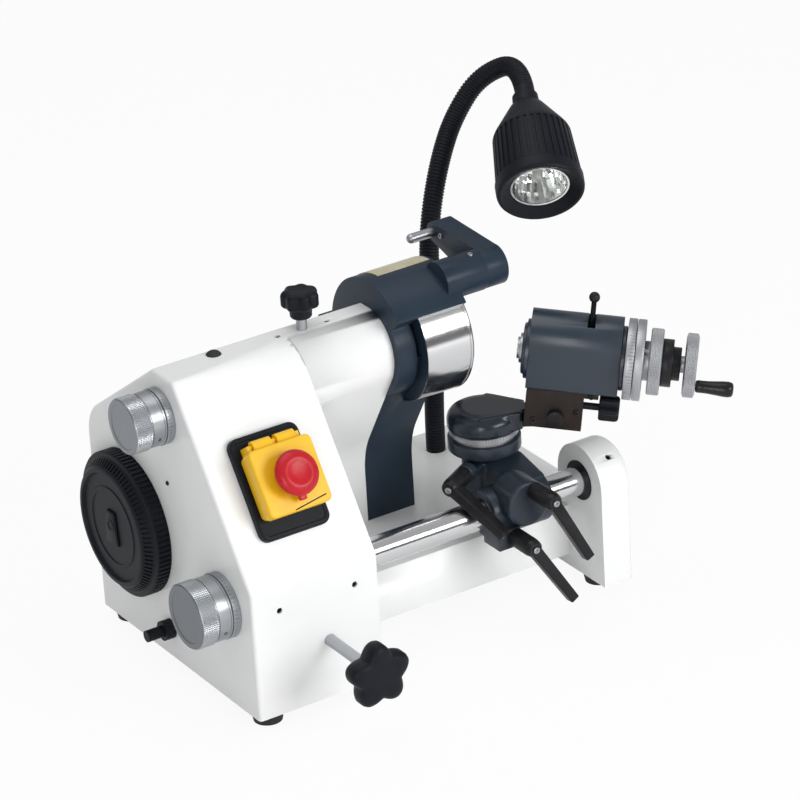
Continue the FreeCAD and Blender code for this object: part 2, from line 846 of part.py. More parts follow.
def guide_bar():
    bar = rod_x(bar_left_x, bar_right_x, bar_y, bar_z, bar_radius)
    return bar.cut(rod_x(bar_left_x - 1, bar_left_x + bar_bore_depth, bar_y, bar_z,
                         feed_screw_radius + running_gap))


def bar_bushes():
    bushes = []
    for x0, x1 in ((block_length - casting_wall * 4, block_length + bush_flange),
                   (pedestal_x - bush_flange, casting_length - bush_flange)):
        bush = rod_x(x0, x1, bar_y, bar_z, bush_radius)
        bushes.append(bush.cut(rod_x(x0 - 1, x1 + 1, bar_y, bar_z, bar_radius + running_gap)))
    return Part.makeCompound(bushes)


def feed_knob(y, z, radius):
    left = -knob_length
    right = -zero_ring_width - knob_gap
    knurl_right = left + knurl_width
    profile = [(left, 0), (left, radius - 1), (left + 1, radius), (knurl_right, radius),
               (knurl_right + 0.5, radius - 0.8), (right, radius - 0.8), (right, 0)]
    knob = revolve_x(profile, y, z)
    grooves = []
    for i in range(knurl_count):
        groove = box(left - 1, -knurl_depth / 2, radius - knurl_depth, knurl_right - 0.5,
                     knurl_depth / 2, radius + 1)
        grooves.append(placed(groove, Vector(0, y, z), Vector(1, 0, 0), 360.0 * i / knurl_count))
    bore = rod_x(left + 2, 1, y, z, feed_screw_radius + seat_gap)
    return knob.cut([bore] + grooves)


def zero_rings():
    rings = []
    for y, z, radius in ((spindle_y, spindle_z, upper_knob_radius), (bar_y, bar_z, lower_knob_radius)):
        ring = rod_x(-zero_ring_width, 0, y, z, radius)
        rings.append(ring.cut(rod_x(-far, far, y, z, feed_screw_radius + running_gap)))
    return Part.makeCompound(rings)


def feed_screw(y, z, right):
    return rod_x(-knob_length + 2, right, y, z, feed_screw_radius)


# Lock knobs


def top_lock_knob():
    z = top_z + top_rod_height
    skirt = rod_z(z, z + top_skirt_height, top_lock_x, spindle_y, top_skirt_radius)
    head = lobed(top_knob_radius, top_knob_height, top_lobes, 0.34)
    head.translate(Vector(top_lock_x, spindle_y, z + top_skirt_height))
    bore = rod_z(z - 1, z + top_skirt_height, top_lock_x, spindle_y, top_rod_radius + seat_gap)
    return join(skirt, head).cut(bore)


def top_lock_stud():
    return rod_z(spindle_z + quill_radius + face_gap, top_z + top_rod_height + top_skirt_height,
                 top_lock_x, spindle_y, top_rod_radius)


def front_lock_knob():
    z = base_z + front_lock_height
    hub_y = -front_rod_length - front_hub_length
    hub = rod_y(hub_y, -front_rod_length, front_lock_x, z, front_hub_radius)
    star = lobed(front_knob_radius, front_knob_thickness, front_lobes, 0.36)
    star = placed(star, Vector(front_lock_x, hub_y, z), Vector(1, 0, 0), 90)
    bore = rod_y(hub_y, 1 - front_rod_length, front_lock_x, z, front_rod_radius + seat_gap)
    return join(hub, star).cut(bore)


def front_lock_stud():
    return rod_y(-front_rod_length - front_hub_length, stud_depth, front_lock_x,
                 base_z + front_lock_height, front_rod_radius)


# Switch


def on_slope(shape):
    """Moves a shape from its own flat frame, X and up the slope, to the sloping face."""
    return placed(shape, Vector(0, 0, base_z + front_height), Vector(1, 0, 0), slope_angle)


hinge_up = switch_up + cover_length / 2 + knuckle_radius - 1
hinge_out = plate_thickness + housing_height + knuckle_radius - 2
cover_bottom = plate_thickness + housing_height + face_gap


def switch_plate():
    return on_slope(plate_z(switch_x, switch_up, plate_width, plate_length, plate_corner, 0, plate_thickness))


def switch_housing():
    frame = plate_z(switch_x, switch_up, housing_width, housing_length, cover_corner,
                    plate_thickness, plate_thickness + housing_height)
    pocket = Part.makeCylinder(start_radius + face_gap, housing_height + 2,
                               Vector(switch_x, switch_up + start_up_offset, plate_thickness + 1))
    posts = []
    for side in (-1, 0, 1):
        ear = box(switch_x + side * knuckle_spacing - 2, switch_up + housing_length / 2 - 2, plate_thickness,
                  switch_x + side * knuckle_spacing + 2, hinge_up + 1.5, hinge_out + 1.5)
        posts.append(ear)
    pin = rod_x(switch_x - knuckle_spacing, switch_x + knuckle_spacing, hinge_up, hinge_out,
                hinge_pin_radius)
    return on_slope(join(frame, pin, *posts).cut(pocket))


def switch_cover():
    top = cover_bottom + cover_height
    lid = plate_z(switch_x, switch_up, cover_width, cover_length, cover_corner, cover_bottom, top)
    edges = []
    for edge in lid.Edges:
        middle = edge.valueAt((edge.FirstParameter + edge.LastParameter) / 2)
        if abs(middle.z - top) < 1e-6:
            edges.append(edge)
    lid = lid.makeFillet(2.0, edges)
    room = plate_z(switch_x, switch_up, cover_width - 2 * cover_wall, cover_length - 2 * cover_wall,
                   cover_corner - cover_wall, cover_bottom - 1, top - cover_wall)
    stem = Part.makeCylinder(stop_stem_radius + running_gap, far, Vector(switch_x, switch_up, cover_bottom))
    knuckles = []
    gaps = []
    for side in (-1, 1):
        middle = switch_x + side * knuckle_spacing / 2
        barrel = rod_x(middle - knuckle_length / 2, middle + knuckle_length / 2, hinge_up, hinge_out,
                       knuckle_radius)
        neck = box(middle - knuckle_length / 2, switch_up + cover_length / 2 - 2, cover_bottom,
                   middle + knuckle_length / 2, hinge_up, hinge_out + knuckle_radius)
        knuckles.append(join(barrel, neck))
    for side in (-1, 0, 1):
        gaps.append(box(switch_x + side * knuckle_spacing - 2.4, switch_up + cover_length / 2 - 6, -1,
                        switch_x + side * knuckle_spacing + 2.4, hinge_up + 20, hinge_out + 2.2))
    pin = rod_x(-far, far, hinge_up, hinge_out, hinge_pin_radius + running_gap)
    return on_slope(join(lid, *knuckles).cut([room, stem, pin] + gaps))


def stop_button():
    top = cover_bottom + cover_height
    low = top + stop_travel + face_gap
    stem = Part.makeCylinder(stop_stem_radius, low - cover_bottom - 4,
                             Vector(switch_x, switch_up, cover_bottom + 4.5))
    foot = Part.makeCylinder(stop_stem_radius + 2, 2.0, Vector(switch_x, switch_up, cover_bottom + 4.5))
    skirt = Part.makeCone(stop_radius * 0.8, stop_radius, stop_skirt, Vector(switch_x, switch_up, low))
    dome_height = stop_height - stop_skirt
    ball = (stop_radius * stop_radius + dome_height * dome_height) / (2 * dome_height)
    dome = Part.makeSphere(ball, Vector(switch_x, switch_up, low + stop_height - ball))
    dome = dome.common(Part.makeCylinder(stop_radius, far, Vector(switch_x, switch_up, low + stop_skirt)))
    return on_slope(join(stem, foot, skirt, dome))


def start_button():
    bottom = plate_thickness + 1
    top = plate_thickness + housing_height - start_travel + start_height - 1
    return on_slope(Part.makeCylinder(start_radius, top - bottom - start_travel,
                                      Vector(switch_x, switch_up + start_up_offset, bottom + start_travel)))


# Lamp

lamp_neck = Vector(goose_x + 94, goose_y - 23, base_z + 371)
lamp_way = Vector(-0.40, -0.78, -0.48).normalize()
goose_corners = [Vector(goose_x, goose_y, bed_top_z - goose_socket),
                 Vector(goose_x, goose_y, base_z + 80),
                 Vector(goose_x + 4.4, goose_y, base_z + 202),
                 Vector(goose_x + 3.1, goose_y + 2, base_z + 289.5),
                 Vector(goose_x + 67, goose_y + 41, base_z + 348.5),
                 lamp_neck - lamp_way * 66.5,
                 lamp_neck + lamp_way * 6]
goose_bends = [300.0, 500.0, 150.0, 60.0, 29.5]


def path_pieces():
    """Straight runs and tangent arcs through the gooseneck's corners."""
    pieces = []
    start = goose_corners[0]
    for i in range(1, len(goose_corners) - 1):
        corner = goose_corners[i]
        back = goose_corners[i - 1] - corner
        ahead = goose_corners[i + 1] - corner
        half = back.getAngle(ahead) / 2
        radius = goose_bends[i - 1]
        trim = radius / math.tan(half)
        back.normalize()
        ahead.normalize()
        pieces.append(("run", start, corner + back * trim))
        centre = corner + (back + ahead).normalize() * (radius / math.sin(half))
        pieces.append(("arc", corner + back * trim, corner + ahead * trim, centre, radius,
                       math.pi - 2 * half))
        start = corner + ahead * trim
    pieces.append(("run", start, goose_corners[-1]))
    return pieces


def path_length(piece):
    if piece[0] == "run":
        return (piece[2] - piece[1]).Length
    return piece[4] * piece[5]


def path_at(pieces, distance):
    """Point and direction at a distance along the gooseneck."""
    for piece in pieces:
        length = path_length(piece)
        if distance <= length or piece is pieces[-1]:
            break
        distance -= length
    if piece[0] == "run":
        way = (piece[2] - piece[1]).normalize()
        return piece[1] + way * distance, way
    centre = piece[3]
    out = (piece[1] - centre).normalize()
    other = (piece[2] - centre).normalize()
    side = (other - out * out.dot(other)).normalize()
    turn = distance / piece[4]
    point = centre + (out * math.cos(turn) + side * math.sin(turn)) * piece[4]
    return point, side * math.cos(turn) - out * math.sin(turn)


def hoop(point, way, radius):
    """Circle across the path, with its seam always on the same side."""
    steady = Vector(1, 0, 0)
    across = (steady - way * way.dot(steady)).normalize()
    circle = Part.Circle(point, way, radius)
    circle.XAxis = across
    return Part.Wire(circle.toShape())


def gooseneck():
    pieces = path_pieces()
    total = sum(path_length(piece) for piece in pieces)
    plain = goose_radius * 2
    pitch = (total - 2 * plain) / goose_ribs
    rings = [(0.0, goose_radius)]
    for i in range(goose_ribs):
        start = plain + i * pitch
        rings.append((start, goose_radius))
        rings.append((start + pitch * 0.5, goose_radius))
        rings.append((start + pitch * 0.65, goose_radius - goose_groove))
        rings.append((start + pitch * 0.85, goose_radius - goose_groove))
    rings.append((total - plain, goose_radius))
    rings.append((total, goose_radius))
    outer = Part.makeLoft([hoop(*path_at(pieces, at), radius) for at, radius in rings], True, True)
    steps = [total * i / goose_ribs for i in range(goose_ribs + 1)]
    inner = Part.makeLoft([hoop(*path_at(pieces, at), goose_bore_radius) for at in steps], True, True)
    print("gooseneck length", round(total, 1), "least radius",
          round(min(piece[4] for piece in pieces if piece[0] == "arc"), 1))
    return outer.cut(inner)


def along_lamp(shape):
    """Moves a shape turned about +X from the origin to the lamp's own axis."""
    turn = Rotation(Vector(1, 0, 0), lamp_way)
    shape.Placement = Placement(lamp_neck, turn).multiply(shape.Placement)
    return shape


def lamp_shade():
    collar = shade_neck_length
    profile = [(0, 0), (0, shade_neck_radius), (collar, shade_neck_radius + 1),
               (collar + 10, shade_shoulder_radius), (collar + 30, shade_rim_radius - 3),
               (shade_length - 22, shade_rim_radius - 1), (shade_length - 20, shade_rim_radius),
               (shade_length, shade_rim_radius - 1), (shade_length, 0)]
    body = revolve_x(profile, 0, 0)
    bulb_left = shade_length - bulb_set_back - bulb_depth
    inside = [(bulb_left, 0), (bulb_left, bulb_neck_radius), (shade_length - bulb_set_back, bulb_radius + face_gap),
              (shade_length + 1, shade_rim_radius - shade_wall - 1), (shade_length + 1, 0)]
    room = revolve_x(inside, 0, 0)
    entry = rod_x(-1, goose_radius * 2, 0, 0, goose_radius + seat_gap)
    grooves = []
    for i in range(shade_ribs):
        groove = box(collar + 31, -1, shade_rim_radius - 3.2, shade_length - 24, 1, shade_rim_radius + 2)
        grooves.append(placed(groove, Vector(0, 0, 0), Vector(1, 0, 0), 360.0 * i / shade_ribs))
    return along_lamp(body.cut([room, entry] + grooves))


def lamp_bulb():
    left = shade_length - bulb_set_back - bulb_depth + seat_gap
    right = shade_length - bulb_set_back
    profile = [(left, 0), (left, bulb_neck_radius - face_gap), (right, bulb_radius), (right, 0)]
    return along_lamp(revolve_x(profile, 0, 0))


# Dresser


def dresser_arm():
    right = dresser_left_x + dresser_width
    left = dresser_left_x + face_gap
    end = Vector(0, dresser_y + dresser_reach, dresser_z + dresser_rise)
    hub = rod_x(left, right, dresser_y, dresser_z, dresser_hub_radius)
    tip = rod_x(left, right, end.y, end.z, dresser_end_radius)
    along = Vector(0, dresser_reach, dresser_rise).normalize()
    side = Vector(0, -along.z, along.y)
    start = Vector(0, dresser_y, dresser_z)
    corners = [start + side * dresser_hub_radius, end + side * dresser_end_radius,
               end - side * dresser_end_radius, start - side * dresser_hub_radius]
    corners = [Vector(left, c.y, c.z) for c in corners]
    bar = Part.Face(Part.makePolygon(corners + [corners[0]])).extrude(Vector(right - left, 0, 0))
    bore = rod_x(left - 1, right + 1, dresser_y, dresser_z, dresser_spigot_radius + running_gap)
    shank = rod_x(left - 1, right - 4, end.y, end.z, diamond_radius + seat_gap)
    return join(hub, tip, bar).cut([bore, shank])


def dresser_diamond():
    left = dresser_left_x - diamond_length
    y = dresser_y + dresser_reach
    z = dresser_z + dresser_rise
    shank = rod_x(left + diamond_radius, dresser_left_x + dresser_width - 5, y, z, diamond_radius)
    tip = Part.makeSphere(diamond_radius, Vector(left + diamond_radius, y, z))
    return join(shank, tip)


# Clamping levers


def lever(angle):
    """Clamping lever along +X from its seat: hub, arm in the YZ plane and threaded stud."""
    hub = rod_x(0, lever_hub_length, 0, 0, lever_hub_radius)
    stud = rod_x(-lever_stud_length, 1, 0, 0, lever_stud_radius)
    head = rod_x(lever_hub_length - 1, lever_hub_length + 1.5, 0, 0, lever_screw_radius)
    turn = math.radians(angle)
    start = Vector(lever_hub_length - lever_root_radius - 1, 0, 0)
    way = Vector(lever_lean, lever_length * math.cos(turn), lever_length * math.sin(turn))
    length = way.Length
    arm = Part.makeCone(lever_root_radius, lever_tip_radius, length, start, way)
    end = Part.makeSphere(lever_tip_radius, start + way)
    return join(hub, stud, head, arm, end)


def facing_front(shape, x, y, z):
    """Turns a lever made along +X so that it points to the front, arm angle from +X downwards."""
    shape.Placement = Placement(Vector(x, y, z), Rotation(Vector(0, 0, 1), -90))
    return shape


bar_lever_x = bracket_boss_x + bar_lever_offset
split_lever_x = clamp_left_x + clamp_width - split_lever_inset


def bar_lever():
    return facing_front(lever(-bar_lever_angle), bar_lever_x, bracket_boss_front_y,
                        base_z + bar_lever_height)


def split_lever():
    return facing_front(lever(-split_lever_angle), split_lever_x, clamp_ear_front_y,
                        base_z + split_lever_height)


def post_lever_seat():
    turn = math.radians(post_lever_turn)
    out = Vector(math.cos(turn), math.sin(turn), 0)
    return Vector(swivel_x, swivel_y, base_z + post_lever_height) + out * post_lever_reach


def post_lever():
    shape = lever(-post_lever_angle)
    shape.Placement = Placement(post_lever_seat(), Rotation(Vector(0, 0, 1), post_lever_turn))
    return shape


# Bracket on the bar


def bar_clamp():
    right = clamp_left_x + clamp_width
    ring = rod_x(clamp_left_x, right, bar_y, bar_z, clamp_radius)
    ear = box(clamp_left_x, clamp_ear_front_y, base_z + clamp_ear_bottom, right, bar_y, base_z + clamp_ear_top)
    bore = rod_x(clamp_left_x - 1, right + 1, bar_y, bar_z, bar_radius + running_gap)
    stud = rod_y(clamp_ear_front_y - 1, clamp_ear_front_y + lever_stud_length, split_lever_x,
                 base_z + split_lever_height, lever_stud_radius + running_gap)
    return join(ring, ear).cut([bore, stud])


def bar_bracket():
    left = clamp_left_x + clamp_width + face_gap
    right = left + sleeve_width
    boss_z = base_z + bracket_boss_height
    eye_z = base_z + eye_top
    sleeve = rod_x(left, right, bar_y, bar_z, sleeve_radius)
    slope = [(bar_y, bar_z), (bracket_slope_y, boss_z), (bracket_slope_y, bar_z + sleeve_radius),
             (swivel_y - eye_radius, eye_z), (swivel_y, eye_z), (swivel_y, base_z + eye_bottom)]
    arm = prism_x(slope, [0] * 6, left, right)
    boss = rod_y(bracket_boss_front_y, bar_y, bracket_boss_x, boss_z, bracket_boss_radius)
    eye = rod_z(base_z + eye_bottom, eye_z, swivel_x, swivel_y, eye_radius)
    seat = post_lever_seat()
    inward = Vector(swivel_x - seat.x, swivel_y - seat.y, 0).normalize()
    lug = Part.makeCylinder(lever_hub_radius, post_lever_reach - post_radius, seat, inward)
    lug = lug.cut(rod_z(eye_z, far, swivel_x, swivel_y, swivel_radius + 1))
    bore = rod_x(left - 1, right + 1, bar_y, bar_z, bar_radius + running_gap)
    collar_room = rod_x(clamp_left_x - far, left, bar_y, bar_z, clamp_radius + face_gap)
    post = rod_z(base_z, eye_z + 1, swivel_x, swivel_y, post_radius + running_gap)
    stud = rod_y(bracket_boss_front_y - 1, bracket_boss_front_y + lever_stud_length, bar_lever_x,
                 base_z + bar_lever_height, lever_stud_radius + running_gap)
    post_stud = Part.makeCylinder(lever_stud_radius + running_gap, lever_stud_length + 1, seat - inward, inward)
    return join(sleeve, arm, boss, eye, lug).cut([bore, collar_room, post, stud, post_stud])


# Swivel


def swivel_post():
    z = base_z + swivel_neck_bottom
    neck = rod_z(base_z + eye_bottom, z + 1, swivel_x, swivel_y, post_radius)
    cone = Part.makeCone(eye_radius, swivel_radius, swivel_cone_height, Vector(swivel_x, swivel_y, z))
    disc = rod_z(z + swivel_cone_height, base_z + swivel_disc_top, swivel_x, swivel_y, swivel_radius)
    return join(neck, cone, disc)


def graduated_ring():
    z = base_z + swivel_disc_top
    return rod_z(z, z + scale_ring_height, swivel_x, swivel_y, scale_ring_radius)


def head_place(shape):
    """Moves a shape from the work head's own frame, along its axis, to the machine."""
    return placed(shape, Vector(swivel_x, swivel_y, 0), Vector(0, 0, 1), head_turn)


def tilt_place(shape):
    """Like head_place, but first leans the shape about the tilt screw, crank end down."""
    leaned = shape.copy()
    leaned.rotate(Vector(tilt_along, 0, base_z + tilt_height), Vector(0, 1, 0), head_rest_tilt)
    return head_place(leaned)


swivel_cap_bottom = base_z + swivel_disc_top + scale_ring_height + face_gap
plate_front = -lug_width / 2 - face_gap - tilt_plate_thickness
plate_back = -lug_width / 2 - face_gap
flange_bottom = head_z - head_below - tilt_flange_thickness


def swivel_cap():
    top = swivel_cap_bottom + cap_height
    disc = rod_z(swivel_cap_bottom, top, 0, 0, swivel_radius)
    rim = [edge for edge in disc.Edges if abs(edge.CenterOfMass.z - top) < 1e-3]
    disc = disc.makeFillet(cap_rounding, rim)
    lug = box(0, -lug_width / 2, swivel_cap_bottom, lug_reach, lug_width / 2, base_z + lug_top)
    slope = prism_y([(-1, top - 2), (lug_reach * 0.62, base_z + lug_top + 1), (-1, base_z + lug_top + 1)],
                    -lug_width, lug_width)
    hole = rod_y(-lug_width, lug_width, tilt_along, base_z + tilt_height, tilt_screw_radius + seat_gap)
    return head_place(join(disc, lug.cut(slope)).cut(hole))


def prism_y(points, y0, y1):
    corners = [Vector(x, y0, z) for x, z in points]
    return Part.Face(Part.makePolygon(corners + [corners[0]])).extrude(Vector(0, y1 - y0, 0))


def tilt_plate():
    upright = box(tilt_plate_left, plate_front, base_z + tilt_plate_bottom, tilt_plate_right, plate_back,
                  flange_bottom + 1)
    flange = box(head_left + 2, plate_front, flange_bottom, tilt_plate_right + 12, head_width / 2 - 4,
                 flange_bottom + tilt_flange_thickness)
    hole = rod_y(-far, far, tilt_along, base_z + tilt_height, tilt_screw_radius + running_gap)
    thumb_y = (plate_front + plate_back) / 2
    thumb = rod_x(tilt_plate_right - thumb_rod_length / 2, tilt_plate_right + 1, thumb_y, base_z + thumb_height,
                  thumb_rod_radius + running_gap)
    return tilt_place(join(upright, flange).cut([hole, thumb]))


def tilt_screw():
    z = base_z + tilt_height
    shank = rod_y(plate_front - face_gap - 1, lug_width / 2, tilt_along, z, tilt_screw_radius)
    head = rod_y(plate_front - face_gap - tilt_head_height, plate_front - face_gap, tilt_along, z,
                 tilt_head_radius)
    return head_place(join(shank, head))


# Work head


def work_head_body():
    w = head_width / 2
    low = head_z - head_below
    high = head_z + head_above
    points = [(-w, low), (w, low), (w, high), (-w, high)]
    body = prism_x(points, [2, 2, head_rounding, head_rounding], head_left, head_right)
    bore = rod_x(head_left - 1, head_right + 1, 0, head_z, head_spindle_radius + running_gap)
    half = index_slot_width / 2
    slot = sector_x(index_lever_along - half, index_lever_along + half, head_spindle_radius + 0.5,
                    head_above + head_width, 90 + index_slot_swing, 90 - index_slot_swing, 0, head_z)
    band = rod_x(index_lever_along - half, index_lever_along + half, 0, head_z,
                 index_band_radius + face_gap)
    return tilt_place(body.cut([bore, slot, band]))


def index_lever():
    half = index_slot_width / 2 - face_gap
    x = index_lever_along
    band = rod_x(x - half, x + half, 0, head_z, index_band_radius)
    band = band.cut(rod_x(x - far, x + far, 0, head_z, head_spindle_radius + running_gap))
    stem = rod_z(head_z + head_spindle_radius + 2, base_z + index_lever_top, x, 0, index_lever_radius)
    ball = Part.makeSphere(index_ball_radius, Vector(x, 0, base_z + index_lever_top))
    return tilt_place(join(band, stem, ball))


def index_spindle():
    shaft = rod_x(head_nose, head_spindle_right, 0, head_z, head_spindle_radius)
    bore = rod_x(head_nose - 1, head_nose + collet_length + 2, 0, head_z, head_bore_radius + seat_gap)
    draw = rod_x(head_nose, far, 0, head_z, drawbar_radius + running_gap)
    return tilt_place(shaft.cut([bore, draw]))


def collet():
    left = head_nose - 2
    sleeve = rod_x(left, left + collet_length, 0, head_z, head_bore_radius)
    bore = rod_x(left - 1, left + collet_length + 1, 0, head_z, collet_bore_radius)
    slits = []
    for i in range(3):
        slit = box(left - 1, -0.5, collet_bore_radius - 1, left + collet_length * 0.6, 0.5, far)
        slits.append(placed(slit, Vector(0, 0, head_z), Vector(1, 0, 0), 120.0 * i + 60))
    return tilt_place(sleeve.cut([bore] + slits))


def index_ring():
    ring = rod_x(index_ring_left, index_ring_right, 0, head_z, index_radius)
    hub = rod_x(head_right, index_ring_left + 1, 0, head_z, head_width / 2 - 1)
    bore = rod_x(head_right - 1, index_ring_right + 1, 0, head_z, head_spindle_radius + running_gap)
    return tilt_place(join(ring, hub).cut(bore))


def index_plate():
    plate = rod_x(index_plate_left, index_plate_right, 0, head_z, index_radius)
    cuts = [rod_x(index_plate_left - 1, knurled_left + 1, 0, head_z, head_spindle_radius + seat_gap)]
    for i in range(index_hole_count):
        turn = 2 * math.pi * i / index_hole_count
        cuts.append(rod_x(index_plate_right - 3, index_plate_right + 1, index_hole_circle * math.cos(turn),
                          head_z + index_hole_circle * math.sin(turn), index_hole_radius))
    hub = rod_x(index_plate_right - 1, knurled_left, 0, head_z, head_spindle_radius + 4)
    return tilt_place(join(plate, hub).cut(cuts))


def knurled_ring():
    ring = rod_x(knurled_left, knurled_right, 0, head_z, knurled_radius)
    cuts = [rod_x(knurled_left - 1, knurled_right + 1, 0, head_z, head_spindle_radius + seat_gap)]
    for i in range(knurl_count):
        groove = box(knurled_left - 1, -knurl_depth / 2, knurled_radius - knurl_depth, knurled_right + 1,
                     knurl_depth / 2, knurled_radius + 1)
        cuts.append(placed(groove, Vector(0, 0, head_z), Vector(1, 0, 0), 360.0 * i / knurl_count))
    return tilt_place(ring.cut(cuts))


def lock_collars():
    collar = rod_x(knurled_right, collar_right, 0, head_z, collar_radius)
    step = rod_x(collar_right - 1, collar_step_right, 0, head_z, collar_step_radius)
    bore = rod_x(knurled_right - 1, collar_step_right + 1, 0, head_z, head_spindle_radius + seat_gap)
    return tilt_place(join(collar, step).cut(bore))


def handwheel():
    profile = [(handwheel_left, 0), (handwheel_left, handwheel_radius - 1.5),
               (handwheel_left + 1.5, handwheel_radius), (handwheel_right - 1.5, handwheel_radius),
               (handwheel_right, handwheel_radius - 1.5), (handwheel_right, handwheel_radius - 6),
               (handwheel_right - handwheel_groove, handwheel_radius - 7), (handwheel_right - handwheel_groove, 0)]
    disc = revolve_x(profile, 0, head_z)
    drawbar = rod_x(head_nose + collet_length + 4, handwheel_left + 1, 0, head_z, drawbar_radius)
    pin = rod_x(handwheel_right - 4, handwheel_right + handle_length - 3, 0, head_z - handle_offset,
                handle_pin_radius)
    bore = rod_x(head_nose, handwheel_right + 1, 0, head_z, drawbar_bore_radius)
    return tilt_place(join(disc, drawbar, pin).cut(bore))


def crank_handle():
    left = handwheel_right + face_gap
    right = handwheel_right + handle_length
    z = head_z - handle_offset
    profile = [(left, 0), (left, handle_root_radius - 1), (left + 2, handle_root_radius),
               (right - 6, handle_tip_radius), (right - 1.5, handle_tip_radius), (right, handle_tip_radius - 1.5),
               (right, 0)]
    grip = revolve_x(profile, 0, z)
    bore = rod_x(left - 1, handwheel_right + handle_length - 2.5, 0, z, handle_pin_radius + running_gap)
    return tilt_place(grip.cut(bore))


def thumb_screw():
    y = (plate_front + plate_back) / 2
    z = base_z + thumb_height
    rod = rod_x(tilt_plate_right - thumb_rod_length / 2, thumb_left + thumb_rod_length + 1, y, z,
                thumb_rod_radius)
    head = lobed(thumb_radius, thumb_length, thumb_lobes, 0.34)
    head = placed(head, Vector(thumb_left + thumb_rod_length, y, z), Vector(0, 1, 0), 90)
    return tilt_place(join(rod, head))


def all_pieces():
    pieces = {
        "base_casting": base_casting(),
        "rubber_feet": rubber_feet(),
        "casting_screws": casting_screws(),
        "hole_plug": hole_plug(),
        "cable_gland": cable_gland(),
        "wheel_head": wheel_head(),
        "wheel_guard_ring": wheel_guard_ring(),
        "spindle_quill": spindle_quill(),
        "spindle_bearings": spindle_bearings(),
        "spindle_shaft": spindle_shaft(),
        "spindle_pulley": pulley(spindle_y, spindle_z, spindle_pulley_radius, shaft_radius),
        "grinding_wheel": grinding_wheel(),
        "wheel_flange": wheel_flange(),
        "upper_feed_knob": feed_knob(spindle_y, spindle_z, upper_knob_radius),
        "zero_rings": zero_rings(),
        "upper_feed_screw": feed_screw(spindle_y, spindle_z, upper_screw_right_x),
        "top_lock_knob": top_lock_knob(),
        "top_lock_stud": top_lock_stud(),
        "motor_body": motor_body(),
        "motor_end_cap": motor_end_cap(),
        "motor_shaft": motor_shaft(),
        "motor_pulley": pulley(motor_y, motor_z, motor_pulley_radius, motor_shaft_radius),
        "drive_belt": drive_belt(),
        "guide_bar": guide_bar(),
        "bar_bushes": bar_bushes(),
        "lower_feed_knob": feed_knob(bar_y, bar_z, lower_knob_radius),
        "lower_feed_screw": feed_screw(bar_y, bar_z, lower_screw_right_x),
        "front_lock_knob": front_lock_knob(),
        "front_lock_stud": front_lock_stud(),
        "switch_plate": switch_plate(),
        "switch_housing": switch_housing(),
        "switch_cover": switch_cover(),
        "stop_button": stop_button(),
        "start_button": start_button(),
        "gooseneck": gooseneck(),
        "lamp_shade": lamp_shade(),
        "lamp_bulb": lamp_bulb(),
        "dresser_arm": dresser_arm(),
        "dresser_diamond": dresser_diamond(),
        "bar_clamp": bar_clamp(),
        "split_lever": split_lever(),
        "bar_bracket": bar_bracket(),
        "bar_lever": bar_lever(),
        "post_lever": post_lever(),
        "swivel_post": swivel_post(),
        "graduated_ring": graduated_ring(),
        "swivel_cap": swivel_cap(),
        "tilt_plate": tilt_plate(),
        "tilt_screw": tilt_screw(),
        "work_head_body": work_head_body(),
        "index_spindle": index_spindle(),
        "collet": collet(),
        "index_ring": index_ring(),
        "index_plate": index_plate(),
        "knurled_ring": knurled_ring(),
        "lock_collars": lock_collars(),
        "handwheel": handwheel(),
        "crank_handle": crank_handle(),
        "index_lever": index_lever(),
        "thumb_screw": thumb_screw(),
    }
    return pieces


pieces = all_pieces()
bounds = Part.makeCompound(list(pieces.values())).BoundBox
shift = Vector(-bounds.Center.x, -bounds.Center.y, -bounds.ZMin)
for name, shape in pieces.items():
    shape.translate(shift)
    shape.exportStep("parts/" + name + ".step")
print(len(pieces), "nodes", round(bounds.XLength, 1), round(bounds.YLength, 1), round(bounds.ZLength, 1))
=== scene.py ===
import json
import math

import bmesh
import bpy
from mathutils import Matrix, Vector

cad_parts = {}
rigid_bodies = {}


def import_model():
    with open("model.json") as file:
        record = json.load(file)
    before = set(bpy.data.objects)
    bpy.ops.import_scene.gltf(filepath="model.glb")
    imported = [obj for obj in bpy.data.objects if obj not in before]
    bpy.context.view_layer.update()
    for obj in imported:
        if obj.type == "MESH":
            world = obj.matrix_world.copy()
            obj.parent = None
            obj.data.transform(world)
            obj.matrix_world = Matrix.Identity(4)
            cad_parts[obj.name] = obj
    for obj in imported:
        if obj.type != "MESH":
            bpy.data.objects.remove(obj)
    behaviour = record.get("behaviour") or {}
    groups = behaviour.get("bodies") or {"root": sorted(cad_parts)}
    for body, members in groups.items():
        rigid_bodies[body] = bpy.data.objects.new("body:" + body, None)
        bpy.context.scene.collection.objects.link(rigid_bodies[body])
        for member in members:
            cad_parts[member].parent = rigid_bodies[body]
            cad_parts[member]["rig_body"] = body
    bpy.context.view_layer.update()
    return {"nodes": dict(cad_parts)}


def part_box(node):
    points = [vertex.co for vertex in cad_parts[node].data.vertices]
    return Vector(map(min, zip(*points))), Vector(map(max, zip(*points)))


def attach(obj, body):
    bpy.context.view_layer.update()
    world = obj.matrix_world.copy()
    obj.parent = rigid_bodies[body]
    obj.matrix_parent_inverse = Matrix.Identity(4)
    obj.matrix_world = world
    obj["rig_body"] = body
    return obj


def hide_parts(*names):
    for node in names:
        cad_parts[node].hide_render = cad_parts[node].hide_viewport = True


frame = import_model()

# Pieces are modelled in millimetres, as they would be measured on the machine, and placed in metres
mm = 0.001
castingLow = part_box("base_casting")[0]
benchCorner = Vector((castingLow.x, castingLow.y, 0))  # under the casting's left front corner


def spotAt(x, y, z):
    return benchCorner + Vector((x, y, z)) * mm


